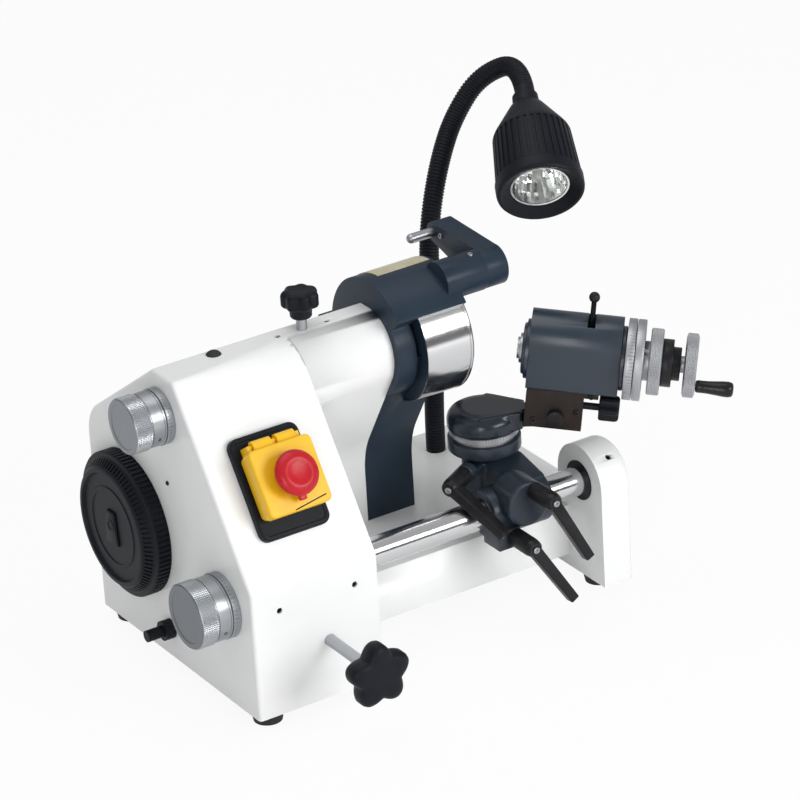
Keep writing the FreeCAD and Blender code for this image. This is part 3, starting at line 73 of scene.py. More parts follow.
def placeAlong(point, direction, up=(0, 0, 1)):
    along = Vector(direction).normalized()
    side = Vector(up).cross(along).normalized()
    turn = Matrix((along, side, along.cross(side))).transposed().to_4x4()
    return Matrix.Translation(point) @ turn @ Matrix.Scale(mm, 4)


def turnedPlace(point, angle, axis):
    return Matrix.Translation(point) @ Matrix.Rotation(math.radians(angle), 4, axis) @ Matrix.Scale(mm, 4)


upright = Matrix.Rotation(math.radians(-90), 4, "Y")  # stands a shape made along +X up along +Z

machine = {"spindle": (0, 124, 238.5), "bar": (0, 44.4, 99.5), "motor": (0, 188.5, 117),
           "slopeFoot": (0, 0, 124), "slopeRun": 102, "slopeRise": 150.5, "swivel": (284, 89, 0),
           "headTurn": -38.7, "headLean": 7, "tiltScrew": (62, 0, 170), "headHeight": 221.5,
           "shade": (413, 200, 381), "shadeAim": (-0.40, -0.78, -0.48)}

machinePlace = placeAlong(benchCorner, (1, 0, 0))
spindlePlace = placeAlong(spotAt(*machine["spindle"]), (1, 0, 0))
barPlace = placeAlong(spotAt(*machine["bar"]), (1, 0, 0))
motorPlace = placeAlong(spotAt(*machine["motor"]), (1, 0, 0))
slopeAngle = math.degrees(math.atan2(machine["slopeRise"], machine["slopeRun"]))
slopePlace = turnedPlace(spotAt(*machine["slopeFoot"]), slopeAngle, "X")
headPlace = turnedPlace(spotAt(*machine["swivel"]), machine["headTurn"], "Z")
tiltScrew = Matrix.Translation(machine["tiltScrew"])
headLean = Matrix.Rotation(math.radians(machine["headLean"]), 4, "Y")
tiltPlace = headPlace @ tiltScrew @ headLean @ tiltScrew.inverted()
headAxis = tiltPlace @ Matrix.Translation((0, 0, machine["headHeight"]))
lampPlace = placeAlong(spotAt(*machine["shade"]), machine["shadeAim"])
swivelAxis = placeAlong(spotAt(*machine["swivel"]), (0, 0, 1), (0, 1, 0))

print("frame loaded")


# Mesh helpers

def bodyOf(node):
    return frame["nodes"][node]["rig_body"]


def meshFrom(bm, name):
    mesh = bpy.data.meshes.new(name)
    bm.to_mesh(mesh)
    bm.free()
    return mesh


def addObject(name, data):
    made = bpy.data.objects.new(name, data)
    bpy.context.scene.collection.objects.link(made)
    return made


def finishPiece(bm, name, finish, node=None, body=None, place=None, sharp=32):
    if place:
        bm.transform(place)
    mesh = meshFrom(bm, name)
    mesh.materials.append(finish)
    mesh.shade_smooth()
    mesh.set_sharp_from_angle(angle=math.radians(sharp))
    piece = addObject(name, mesh)
    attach(piece, body or bodyOf(node))
    if node:
        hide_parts(node)
    return piece


cornerAngle = math.radians(35)  # edges that turn by less stay as they are


def roundEdges(bm, width, segments=2, least=0.0, faces=None, outer=False):
    edges = bm.edges if faces is None else {e for f in faces for e in f.edges}
    chosen = [e for e in edges if len(e.link_faces) == 2 and e.calc_length() > least
              and e.calc_face_angle(0) > cornerAngle and (e.is_convex or not outer)]
    bmesh.ops.bevel(bm, geom=chosen, offset=width, offset_type="OFFSET", segments=segments, profile=0.5,
                    affect="EDGES", material=-1, clamp_overlap=True, loop_slide=True)


def nodeCopy(node):
    bm = bmesh.new()
    bm.from_mesh(frame["nodes"][node].data)
    bmesh.ops.remove_doubles(bm, verts=bm.verts, dist=2e-6)
    bmesh.ops.dissolve_limit(bm, angle_limit=math.radians(0.4), verts=bm.verts, edges=bm.edges)
    return bm


def softened(name, node, finish, width, least=0.0, segments=2, outer=False):
    bm = nodeCopy(node)
    roundEdges(bm, width * mm, segments, least * mm, outer=outer)
    return finishPiece(bm, name, finish, node)


def turned(profile, steps):
    # a profile of (place along X, radius) turned about the X axis
    bm = bmesh.new()
    verts = [bm.verts.new((x, radius, 0)) for x, radius in profile]
    edges = [bm.edges.new(pair) for pair in zip(verts, verts[1:])]
    bmesh.ops.spin(bm, geom=verts + edges, cent=(0, 0, 0), axis=(1, 0, 0), angle=2 * math.pi, steps=steps,
                   use_merge=True)
    bmesh.ops.remove_doubles(bm, verts=bm.verts, dist=0.0005)
    bmesh.ops.recalc_face_normals(bm, faces=bm.faces)
    return bm


def knurl(bm, radius, left, right, tooth):
    band = [f for f in bm.faces if all(abs(math.hypot(v.co.y, v.co.z) - radius) < 0.01
                                       and left - 0.01 < v.co.x < right + 0.01 for v in f.verts)]
    bmesh.ops.poke(bm, faces=band, offset=tooth, center_mode="MEAN")


def spread(left, right, count):
    return [left + (right - left) * i / count for i in range(count + 1)]


def lobedForm(radius, valley, lobes, rings, steps=14):
    # lobed outline about X, drawn through rings given as (place along X, share of the full outline)
    bm = bmesh.new()
    made = bmesh.ops.create_circle(bm, segments=lobes * steps, radius=1)
    for vert in made["verts"]:
        turn = math.atan2(vert.co.y, vert.co.x)
        reach = valley + (radius - valley) * (0.5 + 0.5 * math.cos(lobes * turn)) ** 0.75
        vert.co = (0, reach * math.cos(turn), reach * math.sin(turn))
    loop = bm.edges[:]
    last, size = 0.0, 1.0
    for i, (along, share) in enumerate(rings):
        if i:
            grown = bmesh.ops.extrude_edge_only(bm, edges=loop)["geom"]
            loop = [e for e in grown if isinstance(e, bmesh.types.BMEdge)]
        verts = list({v for e in loop for v in e.verts})
        bmesh.ops.scale(bm, vec=(1, share / size, share / size), verts=verts)
        bmesh.ops.translate(bm, vec=(along - last, 0, 0), verts=verts)
        last, size = along, share
    bmesh.ops.holes_fill(bm, edges=bm.edges, sides=0)
    bmesh.ops.recalc_face_normals(bm, faces=bm.faces)
    return bm


def addBlock(bm, low, high):
    size = Vector(high) - Vector(low)
    middle = (Vector(high) + Vector(low)) / 2
    place = Matrix.Translation(middle) @ Matrix.Diagonal((*size, 1))
    return bmesh.ops.create_cube(bm, size=1, matrix=place)["verts"]


def facesOf(verts):
    return {f for v in verts for f in v.link_faces}


def facesRound(bm, low, high, reach):
    # faces of a band about the X axis, beyond a radius, in order round it
    found = []
    for f in bm.faces:
        middle = f.calc_center_median()
        if low < middle.x < high and math.hypot(middle.y, middle.z) > reach:
            found.append((math.atan2(middle.z, middle.y), f))
    return [f for _, f in sorted(found, key=lambda pair: pair[0])]


def addMesh(bm, other, place=None):
    if place:
        other.transform(place)
    mesh = meshFrom(other, "draft")
    bm.from_mesh(mesh)
    bpy.data.meshes.remove(mesh)


def blended(bm, voxel, rounds):
    # one cast skin over several shapes, with soft inner and outer corners
    mesh = meshFrom(bm, "castDraft")
    draft = addObject("castDraft", mesh)
    skin = draft.modifiers.new("oneSkin", "REMESH")
    skin.mode = "VOXEL"
    skin.voxel_size = voxel
    soften = draft.modifiers.new("castCorners", "SMOOTH")
    soften.factor = 0.5
    soften.iterations = rounds
    result = bmesh.new()
    result.from_object(draft, bpy.context.evaluated_depsgraph_get())
    bpy.data.objects.remove(draft)
    bpy.data.meshes.remove(mesh)
    return result


# Shader helpers and shared effects

def addNode(tree, kind, inputs=None, **settings):
    node = tree.nodes.new(kind)
    for key, value in settings.items():
        setattr(node, key, value)
    for label, value in (inputs or {}).items():
        if isinstance(value, bpy.types.NodeSocket):
            tree.links.new(value, node.inputs[label])
        else:
            node.inputs[label].default_value = value
    return node


def maths(tree, operation, first, second=0.0):
    return addNode(tree, "ShaderNodeMath", {0: first, 1: second}, operation=operation).outputs[0]


def remap(tree, value, fromLow, fromHigh, toLow=0.0, toHigh=1.0):
    limits = {"Value": value, "From Min": fromLow, "From Max": fromHigh, "To Min": toLow, "To Max": toHigh}
    return addNode(tree, "ShaderNodeMapRange", limits).outputs["Result"]


def mixColours(tree, factor, first, second):
    node = addNode(tree, "ShaderNodeMix", data_type="RGBA")
    for socket, value in ((node.inputs[0], factor), (node.inputs[6], first), (node.inputs[7], second)):
        if isinstance(value, bpy.types.NodeSocket):
            tree.links.new(value, socket)
        else:
            socket.default_value = value if isinstance(value, float) else (*value, 1)
    return node.outputs[2]


def noise(tree, where, scale, detail=2.0, roughness=0.5):
    inputs = {"Vector": where, "Scale": scale, "Detail": detail, "Roughness": roughness}
    return addNode(tree, "ShaderNodeTexNoise", inputs).outputs[0]


def makeGroup(name, inputs, outputs):
    group = bpy.data.node_groups.new(name, "ShaderNodeTree")
    group.interface.new_socket(name="Vector", in_out="INPUT", socket_type="NodeSocketVector")
    for label, value in inputs.items():
        socket = group.interface.new_socket(name=label, in_out="INPUT", socket_type="NodeSocketFloat")
        socket.default_value = value
    for label in outputs:
        group.interface.new_socket(name=label, in_out="OUTPUT", socket_type="NodeSocketFloat")
    return group, group.nodes.new("NodeGroupInput").outputs, group.nodes.new("NodeGroupOutput").inputs


def makePaintSkin():
    # orange peel of sprayed paint, and broad uneven patches
    group, source, result = makeGroup("paintSkin", {"Peel": 600.0, "Patch": 18.0}, ["Height", "Cloud"])
    patch = noise(group, source["Vector"], source["Patch"], 5.0, 0.6)
    group.links.new(noise(group, source["Vector"], source["Peel"]), result["Height"])
    group.links.new(remap(group, patch, 0.35, 0.65), result["Cloud"])
    return group


def makeEdgeWearAndSheen():
    # outer corners lighter, in patches: paint rubbed thin, and a painted edge highlight
    group, source, result = makeGroup("edgeWearAndSheen", {"Start": 0.54, "Full": 0.64}, ["Mask"])
    shape = addNode(group, "ShaderNodeNewGeometry").outputs["Pointiness"]
    edge = remap(group, shape, source["Start"], source["Full"])
    rub = noise(group, source["Vector"], 140.0, 4.0)
    group.links.new(maths(group, "MULTIPLY", edge, remap(group, rub, 0.4, 0.62)), result["Mask"])
    return group


def makeTurningMarks():
    # fine rings left by a lathe, along the axis and across end faces
    group, source, result = makeGroup("turningMarks", {"Pitch": 4000.0}, ["Height", "Tone"])
    parts = addNode(group, "ShaderNodeSeparateXYZ", {0: source["Vector"]}).outputs
    reach = maths(group, "SQRT", maths(group, "ADD", maths(group, "MULTIPLY", parts[1], parts[1]),
                                       maths(group, "MULTIPLY", parts[2], parts[2])))
    along = maths(group, "MULTIPLY", maths(group, "ADD", parts[0], reach), source["Pitch"])
    rings = addNode(group, "ShaderNodeTexNoise", {"W": along, "Scale": 1.0, "Detail": 3.0},
                    noise_dimensions="1D")
    smear = noise(group, source["Vector"], 60.0, 3.0)
    group.links.new(rings.outputs[0], result["Height"])
    tone = maths(group, "MULTIPLY", remap(group, rings.outputs[0], 0.3, 0.7),
                 remap(group, smear, 0.3, 0.7, 0.5, 1.0))
    group.links.new(tone, result["Tone"])
    return group


def makeDialTicks():
    # short dark lines at even angles about the X axis, between two places along it
    inputs = {"Count": 60.0, "From": 0.0, "To": 0.01, "Line": 0.12}
    group, source, result = makeGroup("dialTicks", inputs, ["Mask"])
    parts = addNode(group, "ShaderNodeSeparateXYZ", {0: source["Vector"]}).outputs
    turn = maths(group, "DIVIDE", maths(group, "ARCTAN2", parts[2], parts[1]), 2 * math.pi)
    step = maths(group, "FRACT", maths(group, "MULTIPLY", turn, source["Count"]))
    near = maths(group, "ABSOLUTE", maths(group, "SUBTRACT", step, 0.5))
    line = maths(group, "GREATER_THAN", near, maths(group, "SUBTRACT", 0.5, source["Line"]))
    inside = maths(group, "MULTIPLY", maths(group, "GREATER_THAN", parts[0], source["From"]),
                   maths(group, "LESS_THAN", parts[0], source["To"]))
    group.links.new(maths(group, "MULTIPLY", line, inside), result["Mask"])
    return group


paintSkin = makePaintSkin()
edgeWearAndSheen = makeEdgeWearAndSheen()
turningMarks = makeTurningMarks()
dialTicks = makeDialTicks()


def startMaterial(name, **sockets):
    material = bpy.data.materials.new(name)
    material.use_nodes = True
    tree = material.node_tree
    shader = tree.nodes["Principled BSDF"]
    for label, value in sockets.items():
        shader.inputs[label.replace("_", " ")].default_value = value
    where = addNode(tree, "ShaderNodeTexCoord").outputs["Object"]
    return material, tree, shader.inputs, where


def placeGroup(tree, group, inputs):
    return addNode(tree, "ShaderNodeGroup", inputs, node_tree=group).outputs


def bump(tree, target, height, strength, distance):
    node = addNode(tree, "ShaderNodeBump", {"Height": height, "Strength": strength, "Distance": distance})
    tree.links.new(node.outputs[0], target)


def linkLook(tree, shader, colour, roughness):
    tree.links.new(colour, shader["Base Color"])
    tree.links.new(roughness, shader["Roughness"])


def enamel(name, **look):
    # sprayed paint on a casting
    material, tree, shader, where = startMaterial(name, Coat_Weight=look["coat"], Coat_Roughness=0.2,
                                                  Specular_IOR_Level=look.get("gloss", 0.5))
    skin = placeGroup(tree, paintSkin, {"Vector": where, "Peel": look["peel"], "Patch": look["patch"]})
    colour = mixColours(tree, skin["Cloud"], look["colour"], look["shade"])
    if "worn" in look:
        # rubbed paint and a painted edge highlight: outer corners lighter
        wearAndSheen = placeGroup(tree, edgeWearAndSheen, {"Vector": where})
        colour = mixColours(tree, wearAndSheen["Mask"], colour, look["worn"])
    linkLook(tree, shader, colour, remap(tree, skin["Cloud"], 0.0, 1.0, *look["roughness"]))
    bump(tree, shader["Normal"], skin["Height"], look["bump"], 0.0004)
    return material


def moulded(name, **look):
    # injection moulded plastic or rubber with a fine spark-eroded grain
    material, tree, shader, where = startMaterial(name, IOR=1.46, Specular_IOR_Level=look.get("gloss", 0.5))
    skin = placeGroup(tree, paintSkin, {"Vector": where, "Peel": look["grain"], "Patch": look["patch"]})
    colour = mixColours(tree, skin["Cloud"], look["colour"], look["shade"])
    linkLook(tree, shader, colour, remap(tree, skin["Height"], 0.3, 0.7, *look["roughness"]))
    bump(tree, shader["Normal"], skin["Height"], look["bump"], 0.0003)
    return material


def turnedMetal(name, place, look, ticks=(), end=None):
    # lathe finish about the X axis of a place, with any dial lines cut into it, and painted shade on an end
    # face when asked
    material, tree, shader, where = startMaterial(name, Metallic=1.0)
    centred = addNode(tree, "ShaderNodeMapping", {"Vector": where, "Location": place.to_translation(),
                                                  "Rotation": place.to_3x3().normalized().to_euler()},
                      vector_type="TEXTURE").outputs[0]
    marks = placeGroup(tree, turningMarks, {"Vector": centred, "Pitch": look["pitch"]})
    colour = mixColours(tree, marks["Tone"], look["shade"], look["colour"])
    for count, low, high, line in ticks:
        scale = placeGroup(tree, dialTicks, {"Vector": centred, "Count": float(count), "From": low * mm,
                                             "To": high * mm, "Line": line})
        colour = mixColours(tree, scale["Mask"], colour, look["ink"])
    # painted shade: the end face, before this place along X, is coloured darker
    if end is not None:
        face = addNode(tree, "ShaderNodeSeparateXYZ", {0: centred}).outputs[0]
        colour = mixColours(tree, maths(tree, "LESS_THAN", face, end * mm), colour, look["endShade"])
    linkLook(tree, shader, colour, remap(tree, marks["Tone"], 0.0, 1.0, *look["roughness"]))
    bump(tree, shader["Normal"], marks["Height"], look["bump"], 0.0002)
    return material


whiteEnamel = enamel(
    "whiteEnamel", colour=(0.86, 0.865, 0.86), shade=(0.83, 0.838, 0.836), coat=0.35, peel=420.0,
    patch=14.0, roughness=(0.3, 0.4), bump=0.06)
navyEnamel = enamel(
    "navyEnamel", colour=(0.017, 0.029, 0.047), shade=(0.02, 0.033, 0.053), coat=0.05, peel=520.0,
    patch=30.0, roughness=(0.32, 0.42), bump=0.1, gloss=0.18)
headEnamel = enamel(
    "headEnamel", colour=(0.008, 0.019, 0.035), shade=(0.01, 0.022, 0.04), coat=0.1, peel=700.0, patch=40.0,
    roughness=(0.28, 0.35), bump=0.08, gloss=0.65)
# its lighter outer corners are rubbed paint and a painted edge highlight
darkCasting = enamel(
    "darkCasting", colour=(0.018, 0.027, 0.04), shade=(0.022, 0.032, 0.046), coat=0.15, peel=800.0,
    patch=45.0, roughness=(0.28, 0.4), bump=0.12, gloss=0.3, worn=(0.06, 0.068, 0.078))
capEnamel = enamel(
    "capEnamel", colour=(0.009, 0.015, 0.023), shade=(0.012, 0.018, 0.027), coat=0.1, peel=500.0,
    patch=40.0, roughness=(0.2, 0.27), bump=0.05, gloss=0.4)
brownSteel = enamel(
    "brownSteel", colour=(0.015, 0.0095, 0.0082), shade=(0.026, 0.016, 0.013), coat=0.08, peel=900.0,
    patch=60.0, roughness=(0.36, 0.5), bump=0.12, gloss=0.22)
# its lighter outer corners are rubbed paint and a painted edge highlight
blackSteel = enamel(
    "blackSteel", colour=(0.008, 0.008, 0.0095), shade=(0.013, 0.013, 0.015), coat=0.1, peel=1200.0,
    patch=70.0, roughness=(0.32, 0.46), bump=0.1, gloss=0.2, worn=(0.035, 0.035, 0.038))
blackPlastic = moulded(
    "blackPlastic", colour=(0.0052, 0.0064, 0.0105), shade=(0.0082, 0.0098, 0.0145), grain=1800.0,
    patch=40.0, roughness=(0.36, 0.52), bump=0.2, gloss=0.2)
glossBlack = moulded(
    "glossBlack", colour=(0.006, 0.006, 0.007), shade=(0.009, 0.009, 0.01), gloss=0.4, grain=500.0,
    patch=40.0, roughness=(0.24, 0.32), bump=0.03)
blackRubber = moulded(
    "blackRubber", colour=(0.018, 0.018, 0.018), shade=(0.028, 0.028, 0.027), grain=1500.0, patch=60.0,
    roughness=(0.6, 0.8), bump=0.3)
yellowPlastic = moulded(
    "yellowPlastic", colour=(0.88, 0.53, 0.012), shade=(0.84, 0.48, 0.01), grain=1300.0, patch=35.0,
    roughness=(0.3, 0.42), bump=0.08)
redPlastic = moulded(
    "redPlastic", colour=(0.52, 0.01, 0.019), shade=(0.46, 0.008, 0.016), gloss=0.35, grain=1300.0,
    patch=60.0, roughness=(0.26, 0.36), bump=0.06)
greenPlastic = moulded(
    "greenPlastic", colour=(0.02, 0.3, 0.08), shade=(0.016, 0.25, 0.06), grain=1300.0, patch=60.0,
    roughness=(0.28, 0.4), bump=0.06)
abrasive = moulded(
    "abrasive", colour=(0.62, 0.42, 0.42), shade=(0.42, 0.3, 0.31), grain=2600.0, patch=900.0,
    roughness=(0.75, 0.95), bump=0.9)
castIron = moulded(
    "castIron", colour=(0.1, 0.1, 0.105), shade=(0.14, 0.14, 0.14), grain=900.0, patch=80.0,
    roughness=(0.5, 0.7), bump=0.4)
creamPlate = moulded(
    "creamPlate", colour=(0.62, 0.58, 0.44), shade=(0.55, 0.48, 0.3), grain=900.0, patch=50.0,
    roughness=(0.25, 0.4), bump=0.04)

# endShade is a painted shade colour for the left end faces of the feed knobs
brushedLook = {"colour": (0.5, 0.52, 0.545), "shade": (0.38, 0.395, 0.415), "roughness": (0.32, 0.42),
               "pitch": 3200.0, "bump": 0.12, "ink": (0.05, 0.05, 0.055), "endShade": (0.27, 0.285, 0.305)}
polishedLook = {"colour": (0.72, 0.72, 0.73), "shade": (0.64, 0.645, 0.655), "roughness": (0.13, 0.2),
                "pitch": 5200.0, "bump": 0.04}
satinLook = {"colour": (0.52, 0.53, 0.55), "shade": (0.4, 0.41, 0.43), "roughness": (0.4, 0.5),
             "pitch": 4200.0, "bump": 0.08, "ink": (0.04, 0.04, 0.045)}
# near black all over: painted shade of the dark ring round the guide bar where it passes the bushes
bushShadeLook = {"colour": (0.035, 0.037, 0.04), "shade": (0.022, 0.023, 0.026), "roughness": (0.35, 0.5),
            "pitch": 2600.0, "bump": 0.1}

dialLines = [(50, -6.6, -3.6, 0.04), (10, -6.6, -2.4, 0.01)]
# painted shade on the feed knobs' left end faces reaches up to this place along X; the lower knob's is
# darker
endShadeLimit = -35.2
upperSteel = turnedMetal("upperSteel", spindlePlace, brushedLook, dialLines, endShadeLimit)
lowerEndShadeLook = {**brushedLook, "endShade": (0.2, 0.212, 0.23)}
lowerSteel = turnedMetal("lowerSteel", barPlace, lowerEndShadeLook, dialLines, endShadeLimit)
ringPolish = turnedMetal("ringPolish", spindlePlace, polishedLook)
barPolish = turnedMetal("barPolish", barPlace, polishedLook)
headSatin = turnedMetal("headSatin", headAxis, satinLook,
                        [(72, 118.2, 122.1, 0.05), (12, 116.4, 122.1, 0.012)])
headSteel = turnedMetal("headSteel", headAxis, brushedLook)
scaleSatin = turnedMetal("scaleSatin", swivelAxis, satinLook,
                         [(72, 151.4, 154.1, 0.045), (12, 150.6, 154.1, 0.01)])
plainSteel = turnedMetal("plainSteel", machinePlace, brushedLook)
bushShadeSteel = turnedMetal("bushShadeSteel", barPlace, bushShadeLook)
motorAlloy = turnedMetal("motorAlloy", motorPlace, brushedLook)

print("materials ready")


# Casting

casting = {"longRound": 3.2, "longer": 60.0, "round": 1.0, "least": 5.0}


def makeCasting():
    c = casting
    bm = nodeCopy("base_casting")
    roundEdges(bm, c["longRound"] * mm, 4, c["longer"] * mm)
    roundEdges(bm, c["round"] * mm, 2, c["least"] * mm)
    shell = finishPiece(bm, "castingShell", whiteEnamel, "base_casting")
    # large flat faces keep an even shade beside their rounded edges
    even = shell.modifiers.new("evenShade", "WEIGHTED_NORMAL")
    even.keep_sharp = True


makeCasting()


# Wheel head, guard ring and blank plate on the hood

wheelHead = {"round": 1.8, "segments": 3, "least": 1.2}
softened("wheelHeadCasting", "wheel_head", navyEnamel, wheelHead["round"], wheelHead["least"],
         wheelHead["segments"])

guardRing = {"left": 222.0, "right": 267.0, "outer": 54.0, "inner": 52.5, "bead": 3.2, "line": 0.7}


def makeGuardRing():
    left, right, outer, inner = (guardRing[part] for part in ("left", "right", "outer", "inner"))
    bead = right - guardRing["bead"]
    profile = [(left, inner), (left, outer - 0.3), (left + 1, outer - 0.3),
               (bead - guardRing["line"], outer - 0.3), (bead - 0.3, outer - 0.9), (bead, outer - 0.9),
               (bead + 0.5, outer - 0.15), (bead + 1.4, outer), (right - 0.8, outer - 0.05),
               (right, outer - 0.6), (right, inner), (left, inner)]
    finishPiece(turned(profile, 144), "guardRingPolished", ringPolish, "wheel_guard_ring",
                place=spindlePlace, sharp=40)


makeGuardRing()

hoodPlate = {"left": 212.0, "right": 263.0, "radius": 60.0, "from": 88.0, "to": 48.0, "thick": 0.5}


def makeHoodPlate():
    p = hoodPlate
    bm = bmesh.new()
    start = math.radians(p["from"])
    ends = [bm.verts.new((x, p["radius"] * math.cos(start), p["radius"] * math.sin(start)))
            for x in (p["left"], p["right"])]
    edge = bm.edges.new(ends)
    bmesh.ops.spin(bm, geom=ends + [edge], cent=(0, 0, 0), axis=(1, 0, 0),
                   angle=math.radians(p["to"] - p["from"]), steps=24)
    bmesh.ops.recalc_face_normals(bm, faces=bm.faces)
    sheet = bm.faces[:]
    if sheet[0].normal.dot(sheet[0].calc_center_median()) < 0:
        bmesh.ops.reverse_faces(bm, faces=sheet)
    bmesh.ops.solidify(bm, geom=sheet, thickness=-p["thick"])
    finishPiece(bm, "hoodPlateBlank", creamPlate, body="base", place=spindlePlace)


makeHoodPlate()
print("casting and wheel head dressed")


# Feed knobs and their zero rings

feedKnob = {"length": 36.0, "ring": 7.0, "gap": 0.4, "knurl": 15.0, "columns": 96, "rows": 9, "tooth": 0.6,
            "drop": 0.8, "chamfer": 1.0}


def makeFeedKnob(name, node, radius, place, finish):
    k = feedKnob
    left = -k["length"]
    knurlLeft = left + k["chamfer"]
    knurlRight = left + k["knurl"]
    right = -k["ring"] - k["gap"]
    sleeve = radius - k["drop"]
    profile = [(left + 0.5, 0), (left + 0.5, radius * 0.78), (left, radius * 0.8),
               (left, radius - k["chamfer"] * 1.3), (left + 0.3, radius - k["chamfer"])]
    profile += [(x, radius - k["tooth"]) for x in spread(knurlLeft, knurlRight, k["rows"])]
    profile += [(knurlRight + 0.5, sleeve - 0.7), (knurlRight + 1.1, sleeve - 0.7),
                (knurlRight + 1.4, sleeve), (right - 2.6, sleeve), (right - 2.3, sleeve - 0.5),
                (right - 1.9, sleeve - 0.5), (right - 1.6, sleeve), (right - 0.3, sleeve),
                (right, sleeve - 0.3), (right, 0)]
    bm = turned(profile, k["columns"])
    knurl(bm, radius - k["tooth"], knurlLeft, knurlRight, k["tooth"])
    finishPiece(bm, name, finish, node, place=place, sharp=14)


def makeZeroRing(name, radius, place, finish):
    left = -feedKnob["ring"]
    profile = [(left, 5.3), (left, radius - 0.5), (left + 0.4, radius - 0.1), (-0.9, radius - 0.1),
               (-0.5, radius - 0.6), (0, radius - 0.6), (0, 5.3), (left, 5.3)]
    finishPiece(turned(profile, 96), name, finish, "zero_rings", place=place)


def makeGrub(name, radius, angle, along, place, body):
    # small socket screw let into the knob's sleeve
    turn = math.radians(angle)
    out = Vector((0, math.cos(turn), math.sin(turn)))
    seat = place @ (Vector((along, 0, 0)) + out * (radius - feedKnob["drop"] - 0.6))
    profile = [(0, 0), (0, 1.5), (0.7, 1.5), (0.75, 1.4), (0.75, 0.8), (0.2, 0.7), (0.2, 0)]
    finishPiece(turned(profile, 18), name, blackSteel, body=body,
                place=placeAlong(seat, place.to_3x3() @ out, (1, 0, 0)))


for name, node, radius, place, finish in (
        ("feedKnobUpper", "upper_feed_knob", 24.0, spindlePlace, upperSteel),
        ("feedKnobLower", "lower_feed_knob", 28.0, barPlace, lowerSteel)):
    makeFeedKnob(name, node, radius, place, finish)
    makeZeroRing(name + "ZeroRing", radius, place, finish)
    makeGrub(name + "Grub", radius, 205.0, -14.0, place, bodyOf(node))


# Motor end cap

motorCap = {"radius": 63.0, "rim": 13.0, "depth": 22.0, "face": 50.0, "ribs": 84, "ribDepth": 1.1,
            "dish": 2.4, "boss": (20.0, 30.0, 2.2), "hole": 3.2}


def makeMotorCap():
    c = motorCap
    r, rim, deep, edge = (c[part] for part in ("radius", "rim", "depth", "face"))
    face = -deep + c["dish"]
    profile = [(0, r - 0.8), (-0.8, r), (-rim + 1, r), (-rim - 0.2, r - 1.2), (-rim - 0.6, r - 4.0),
               (-rim - 2.0, r - 5.4), (-deep + 2.2, edge + 2.6), (-deep + 0.5, edge + 1.4), (-deep, edge),
               (-deep, edge - 2.5), (face, edge - 4.0), (face, 36), (face - 0.8, 35), (face - 0.8, 33),
               (face, 32), (face, 0)]
    bm = turned(profile, c["ribs"] * 2)
    side = facesRound(bm, -rim + 0.5, -1, edge + 1)
    front = facesRound(bm, -deep + 2.4, -rim - 2.2, edge + 1)
    for band in (side, front):
        bmesh.ops.inset_individual(bm, faces=band[::2], thickness=0.25, depth=-c["ribDepth"])
    width, height, raised = c["boss"]
    corners = addBlock(bm, (face - raised, -width / 2, -height / 2), (face + 0.5, width / 2, height / 2))
    for vert in corners:
        if vert.co.z > 0:
            vert.co.y *= 0.62  # the boss narrows upwards
    roundEdges(bm, 1.6, 3, faces=facesOf(corners))
    hole = turned([(0.9, 0), (0.9, c["hole"]), (0, c["hole"] + 0.6), (0, c["hole"] + 1.8),
                   (0.6, c["hole"] + 2.3)], 32)
    addMesh(bm, hole, Matrix.Translation((face - raised - 0.5, 0, 2)))
    finishPiece(bm, "motorCapMoulded", blackPlastic, "motor_end_cap", place=motorPlace)


makeMotorCap()
print("knobs and motor cap dressed")


# Lock knobs

topKnob = {"radius": 16.0, "valley": 13.6, "lobes": 7, "skirt": 9.5, "rod": 11.0, "skirtHeight": 9.0,
           "height": 15.0, "spot": (136, 124, 0), "seat": 274.5}


def makeTopKnob():
    k = topKnob
    base = k["seat"] + k["rod"]
    low = base + k["skirtHeight"]
    high = low + k["height"]
    rings = [(low, 0.3), (low, 0.8), (low + 0.8, 0.92), (low + 2.2, 0.99), (low + 3.2, 1.0),
             (high - 4.4, 1.0), (high - 2.6, 0.96), (high - 1.1, 0.87), (high - 0.3, 0.74), (high, 0.58),
             (high - 0.4, 0.5), (high - 0.4, 0.02)]
    bm = lobedForm(k["radius"], k["valley"], k["lobes"], rings)
    skirt = turned([(base, 4.6), (base, k["skirt"] - 1.2), (base + 1, k["skirt"] - 0.4),
                    (low - 2, k["skirt"]), (low + 1, k["skirt"] + 2)], 40)
    addMesh(bm, skirt)
    place = placeAlong(spotAt(*k["spot"]), (0, 0, 1), (0, 1, 0))
    finishPiece(bm, "topKnobLobed", blackPlastic, "top_lock_knob", place=place)


starKnob = {"radius": 28.0, "valley": 20.4, "lobes": 5, "hub": 11.0, "rod": 54.0, "hubLength": 9.0,
            "thick": 18.0, "spot": (70, 0, 62), "turn": 18}


def makeStarKnob():
    k = starKnob
    low = k["rod"] + k["hubLength"] - 1
    high = k["rod"] + k["hubLength"] + k["thick"]
    rings = [(low, 0.3), (low, 0.72), (low + 0.6, 0.84), (low + 2.4, 0.95), (low + 5.0, 1.0),
             (high - 6.5, 1.0), (high - 3.6, 0.97), (high - 1.6, 0.9), (high - 0.5, 0.8),
             (high - 0.1, 0.66), (high, 0.45), (high, 0.02)]
    bm = lobedForm(k["radius"], k["valley"], k["lobes"], rings, 20)
    hub = turned([(k["rod"], 5.1), (k["rod"], k["hub"] - 1), (k["rod"] + 1, k["hub"]),
                  (low + 1, k["hub"] + 0.6)], 40)
    addMesh(bm, hub)
    turn = Matrix.Rotation(math.radians(k["turn"]), 4, "X")
    place = placeAlong(spotAt(*k["spot"]), (0, -1, 0)) @ turn
    finishPiece(bm, "starKnobMoulded", blackPlastic, "front_lock_knob", place=place)


makeTopKnob()
makeStarKnob()


# Switch on the sloping face

